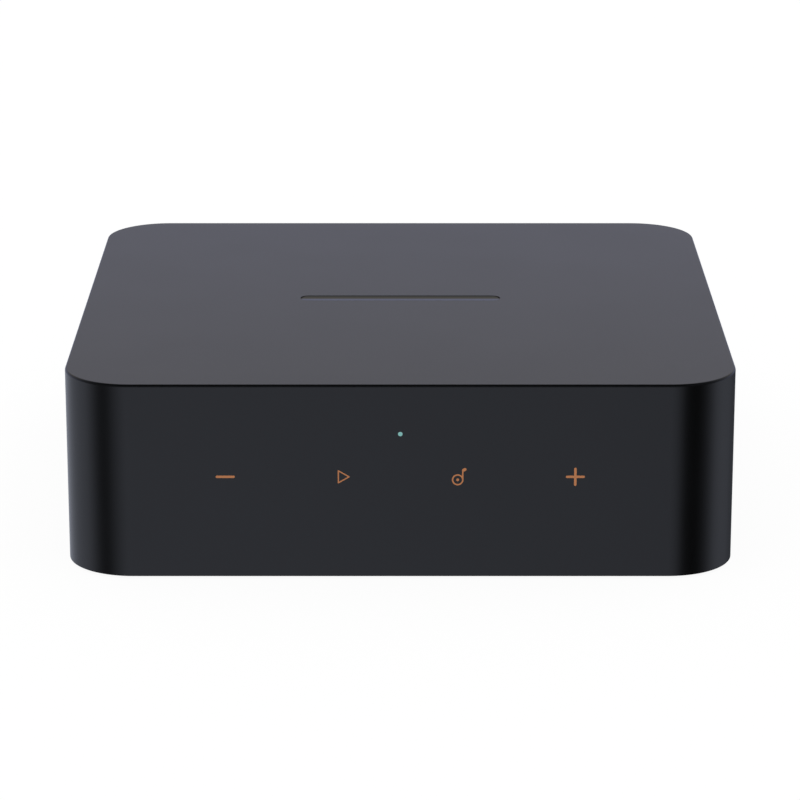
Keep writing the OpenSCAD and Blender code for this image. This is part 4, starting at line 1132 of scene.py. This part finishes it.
# %% [markdown]
# ## Phono housings
# Behind the panel, each pair of phono sockets sits in a moulded block on the board. Round seats for the sleeves are cut
# from the front, and the mould leaves a shallow pocket in the back and a parting groove on both sides.


# %% Phono housings
def phono_housing(low, high):
    bm = block(low, high)
    soften(bm, bm.edges[:], 0.3, 2)
    here = [(x, z) for x, z in phono_places if low.x < x < high.x and z < high.z]
    seats = [rod(4.5, root_y, high.y + 1, (x, 0, z), steps=64) for x, z in here]
    pocket = block((low.x + 1.5, low.y - 1, low.z + 2), (high.x - 1.5, low.y + 0.5, high.z - 1.5))
    grooves = [block((x - 0.3, low.y + 4, low.z - 1), (x + 0.3, low.y + 4.4, high.z + 1)) for x in (low.x, high.x)]
    return carve(bm, [*seats, pocket, together(grooves)])


for node in ("line_out_housing", "line_in_housing", "coax_out_housing"):
    piece(node.replace("housing", "block"), phono_housing(*where(node)), "socket_plastic", [node])

# %% [markdown]
# ## Main board
# The board carries everything else, so the places of its parts are read from the CAD model. A CAD node may hold several
# solids, such as five capacitors, and a walk along the edges of its mesh tells them apart. The board has round corners
# and screw holes with plated rings, and fine printed lines frame the larger parts.


# %% Main board
def solids(node):
    """Lowest and highest corner of each solid of a CAD node, in millimetres."""
    bm = bmesh.new()
    bm.from_mesh(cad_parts[node].data)
    bm.transform(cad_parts[node].matrix_world)
    bmesh.ops.scale(bm, vec=(1000, 1000, 1000), verts=bm.verts)
    bmesh.ops.remove_doubles(bm, verts=bm.verts, dist=0.001)
    left, boxes = set(bm.verts), []
    while left:
        ends, found = [left.pop()], []
        while ends:
            found.append(ends.pop())
            near = {edge.other_vert(found[-1]) for edge in found[-1].link_edges} & left
            left -= near
            ends.extend(near)
        boxes.append([Vector([choose(vert.co[i] for vert in found) for i in range(3)]) for choose in (min, max)])
    bm.free()
    return sorted(boxes, key=lambda box: box[0][:])


def framed(flat, box):
    """A printed line on the board along the border of a flat shape."""
    return lying(hollow(flat, 0.18), board_top - 0.02, board_top + 0.02, *middle(box).xy)


screw_spots = [(*middle(box).xy, 0) for box in solids("board_screws")]
chips, cans = solids("board_chips"), solids("capacitors")
drills = [rod(1.4, board_low.z - 1, board_top + 1, spot, "Z") for spot in screw_spots]
board_bm = carve(slab((board_low, board_high), 1.5, 8), [together(drills)])
piece("main_board_plate", board_bm, "circuit_board", ["main_board"])
rings = [tube(1.45, 2.9, board_top - 0.02, board_top + 0.03, spot, steps=48) for spot in screw_spots]
piece("plated_rings", together(rings), "gold_contact")
frames = []
for box in [*chips, *solids("network_module"), solids("flex_sockets")[1]]:
    size = box[1] - box[0]
    frames.append(framed(outline(size.x + 1.2, size.y + 1.2, 0.4, 4), box))
frames += [framed(disc((box[1] - box[0]).x / 2 + 0.6, 64), box) for box in cans]
piece("printed_frames", together(frames), "print_ink")

# %% [markdown]
# ## Chips
# A chip is a black moulded body with a dimple that marks its first leg. Its tin legs leave the side, step down and end
# flat on the board. The larger chips have legs on all four sides, the two small ones on two. Each leg is a bent strip.


# %% Chips
def chip_body(low, high):
    bm = block(low + Vector((0.9, 0.9, 0.1)), high - Vector((0.9, 0.9, 0)))
    soften(bm, bm.edges[:], 0.12, 2)
    dimple = [(0, high.z - 0.1), (0.3, high.z - 0.1), (0.4, high.z + 1), (0, high.z + 1)]
    return carve(bm, [turned(dimple, (low.x + 1.8, high.y - 1.8, 0), "Z", 24)])


def chip_legs(low, high):
    size, centre, legs = high - low, middle((low, high)), []
    sides, pitch = ((0, 2), 1.27) if size.y < 6 else ((0, 1, 2, 3), 0.8)
    for side in sides:
        run, out = (size.x, size.y / 2) if side % 2 == 0 else (size.y, size.x / 2)
        count = int((run - 2.4) / pitch) + 1
        path = [(out - 1.0, centre.z), (out - 0.72, centre.z), (out - 0.64, centre.z - 0.06)]
        path += [(out - 0.5, low.z + 0.16), (out - 0.42, low.z + 0.09), (out, low.z + 0.09)]
        for k in range(count):
            leg = bent_strip(path, (k - (count - 1) / 2) * pitch, 0.34, 0.13)
            legs.append(moved(leg, *centre.xy, 90 * side))
    return together(legs)


piece("chip_packages", each(chip_body, chips), "chip_plastic", ["board_chips"])
piece("chip_legs", each(chip_legs, chips), "tin_plate")

# %% [markdown]
# ## Capacitors
# An electrolytic capacitor is a drawn aluminium can on a black seat, with a crimp above the seat and a scored cross in
# the top that gives way under pressure. A printed segment on the top marks one pole. The can is turned, the cross is
# cut, and the segment is a disc of which one side is cut away.


# %% Capacitors
def can(low, high):
    x, y = middle((low, high)).xy
    r, z0, z1 = (high.x - low.x) / 2 - 0.15, low.z + 0.5, high.z - 0.01
    profile = [(0, z0), (r - 0.2, z0), (r, z0 + 0.3), (r, z0 + 1.1), (r - 0.28, z0 + 1.45), (r, z0 + 1.8)]
    profile += [(r, z1 - 0.5), (r - 0.06, z1 - 0.24), (r - 0.22, z1 - 0.07), (r - 0.45, z1), (0, z1)]
    return carve(turned(profile, (x, y, 0), "Z", 48), crossed(x, y, 1.7, 0.07, z1 - 0.1, z1 + 1))


def can_seat(low, high):
    side, seat_top = high.x - low.x, low.z + 0.9
    bm = lying(outline(side, side, 1.1, 1, upper=True), low.z, seat_top, *middle((low, high)).xy)
    return soften_at(bm, "Z", seat_top, 0.1, 2)


def can_mark(low, high):
    bm = disc((high.x - low.x) / 2 - 0.65, 64)
    parts = bm.verts[:] + bm.edges[:] + bm.faces[:]
    bmesh.ops.bisect_plane(bm, geom=parts, plane_co=(0, -1.1, 0), plane_no=(0, 1, 0), clear_outer=True)
    return lying(bm, high.z - 0.02, high.z, *middle((low, high)).xy)


piece("capacitor_cans", each(can, cans), "capacitor_can", ["capacitors"])
piece("capacitor_seats", each(can_seat, cans), "socket_plastic")
piece("capacitor_marks", each(can_mark, cans), "chip_plastic")

# %% [markdown]
# ## Network module
# The radio module is a small blue board with half-round plated notches along two sides, where it is soldered down.
# A drawn tin can covers its chips and has small windows along its foot. On the can lie a soft pad and a heat sink whose
# fins grow thinner upwards, as extruded ones do. Two tiny plugs take the antenna cables.

# %% Network module
module_low, module_high = where("network_module")
notch_step = 1.6
notch_count = int(((module_high - module_low).y - 4) / notch_step) + 1
notch_y = [module_low.y + 2 + notch_step * k for k in range(notch_count)]
z0, z1 = module_low.z - 1, module_high.z + 1
notches = [rod(0.45, z0, z1, (x, y, 0), "Z", 16) for x in (module_low.x, module_high.x) for y in notch_y]
module_bm = carve(slab((module_low, module_high), 0.5, 4), [together(notches)])
piece("module_plate", module_bm, "module_board", ["network_module"])
lands = []
for x, way in ((module_low.x, 1), (module_high.x, -1)):
    x0, x1 = sorted((x + way * 0.5, x + way * 1.4))
    lands += [block((x0, y - 0.45, module_high.z - 0.02), (x1, y + 0.45, module_high.z + 0.03)) for y in notch_y]
piece("module_lands", together(lands), "gold_contact")

# %% Shield can, heat sink and plugs
low, high = where("shield_can")
shield = soften_at(slab((low, high), 0.9, 6), "Z", high.z, 0.4, 4)
recess(shield, "Z", low.z, tin_t, (0, 0, high.z - low.z - tin_t))
z0, z1, step, gap = low.z - 1, low.z + 0.9, 5, 2
columns, rows = [low.x + 3 + step * k for k in range(6)], [low.y + 2.5 + step * k for k in range(5)]
long_way = [block((x, low.y - 1, z0), (x + gap, high.y + 1, z1)) for x in columns]
cross_way = [block((low.x - 1, y, z0), (high.x + 1, y + gap, z1)) for y in rows]
piece("drawn_can", carve(shield, [together(long_way), together(cross_way)]), "tin_plate", ["shield_can"])

low, high = where("heat_sink")
fin_half, fin_count = 0.6, 7
fins = []
for k in range(fin_count):
    x = low.x + fin_half + k * (high.x - low.x - 2 * fin_half) / (fin_count - 1)
    fin = block((x - fin_half, low.y, low.z + 1), (x + fin_half, high.y, high.z))
    spread(fin, parts_at(fin.faces, "Z", high.z), (0.7, 1, 1), x)
    fins.append(soften_at(fin, "Z", high.z, 0.2, 3))
sink = carve(block(low, (high.x, high.y, low.z + 2)), fins, "UNION")
piece("finned_sink", sink, "heat_sink", ["heat_sink"])


def ring_plug(low, high):
    r, z0, z1 = (high.x - low.x) / 2, low.z, high.z
    profile = [(0, z0), (r, z0), (r, z0 + 0.5), (r - 0.15, z0 + 0.6), (r - 0.15, z1 - 0.3), (r - 0.3, z1), (0.55, z1)]
    return turned([*profile, (0.45, z1 - 0.2), (0, z1 - 0.2)], (*middle((low, high)).xy, 0), "Z", 48)


piece("ring_plugs", each(ring_plug, solids("antenna_plugs")), "gold_contact", ["antenna_plugs"])

# %% [markdown]
# ## Small parts
# Rows of resistors and ceramic capacitors stand beside the chips and before the sockets, where they steady the supply.
# Each is a tiny block with tin ends. A row skips every place where something else stands already.

# %% Small parts
others = ("board_chips", "capacitors", "network_module", "flex_sockets", "board_screws")
taken = [box for name in (*others, *ports) for box in solids(name)]
half_x, half_y, row_gap, board_rim = 0.4, 0.8, 2.2, 2
sites = []
for low, high in chips:
    columns = [low.x + 1 + row_gap * k for k in range(int((high.x - low.x - 2) / row_gap) + 1)]
    sites += [(x, y) for y in (low.y - row_gap, high.y + row_gap) for x in columns]
for node, spot in ports.items():
    sites += [(spot.x + 2.4 * (k - 1), where(node)[0].y - row_gap) for k in range(3)]


def is_within(x, y, low, high, gap_x, gap_y):
    return low.x - gap_x < x < high.x + gap_x and low.y - gap_y < y < high.y + gap_y


bodies, ends = ([], []), []
for x, y in sites:
    on_board = is_within(x, y, board_low, board_high, -board_rim, -board_rim)
    if on_board and not any(is_within(x, y, *box, 0.9, 1.4) for box in taken):
        taken.append((Vector((x - half_x, y - half_y, 0)), Vector((x + half_x, y + half_y, 0))))
        body = block((x - half_x, y - 0.52, board_top), (x + half_x, y + 0.52, board_top + 0.5))
        bodies[len(taken) % 2].append(body)
        for y0, y1 in ((y - half_y, y - 0.5), (y + 0.5, y + half_y)):
            end = block((x - 0.42, y0, board_top), (x + 0.42, y1, board_top + 0.52))
            ends.append(soften(end, end.edges[:], 0.06, 1))
piece("resistors", together(bodies[0]), "chip_plastic")
piece("ceramic_capacitors", together(bodies[1]), "ceramic")
piece("tin_ends", together(ends), "tin_plate")

# %% [markdown]
# ## Antennas
# Each antenna is a slim board on a side wall. A copper track along its foot is the earth, and a folded track above it
# is the aerial. Both lie on the inner face, where the cable is soldered on. The track is a row of joined blocks.


# %% Antennas
def antenna_tracks(low, high):
    inner = low.x if low.x > 0 else high.x
    strips = [(1, 0.6, 41, 2.2), (18, 1.2, 19.2, 8.4), (21.4, 5.2, 22.6, 8.4), (18, 7.2, 41, 8.4)]
    strips += [(1 + 3 * k, 4, 2.2 + 3 * k, 8.4) for k in range(6)]
    strips += [(1 + 3 * k, 7.2 if k % 2 else 4, 5.2 + 3 * k, 8.4 if k % 2 else 5.2) for k in range(5)]
    strips.append((16, 7.2, 19, 8.4))
    tracks = [
        block((inner - 0.05, low.y + y0, low.z + z0), (inner + 0.05, low.y + y1, low.z + z1))
        for y0, z0, y1, z1 in strips
    ]
    return carve(tracks[0], tracks[1:], "UNION")


for node in ("antenna_left", "antenna_right"):
    plate = block(*where(node))
    piece(f"{node}_plate", soften(plate, plate.edges[:], 0.1, 2), "antenna_board", [node])
    piece(f"{node}_tracks", antenna_tracks(*where(node)), "copper_track")

# %% [markdown]
# ## Nodes that stay
# The cables, screws, touch board and a few more keep their CAD meshes, whose shapes are right. The frame's materials
# are named after the record's slots, and each finish above was built in the material of its name, so these nodes wear
# theirs already. This cell makes sure that none was missed.

# %% Nodes that stay
kept = [node for node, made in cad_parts.items() if not made.hide_render]
for node in kept:
    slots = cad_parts[node].data.materials
    slots[0] = finishes[slots[0].name]
print(len(kept), "nodes stay:", ", ".join(sorted(kept)))
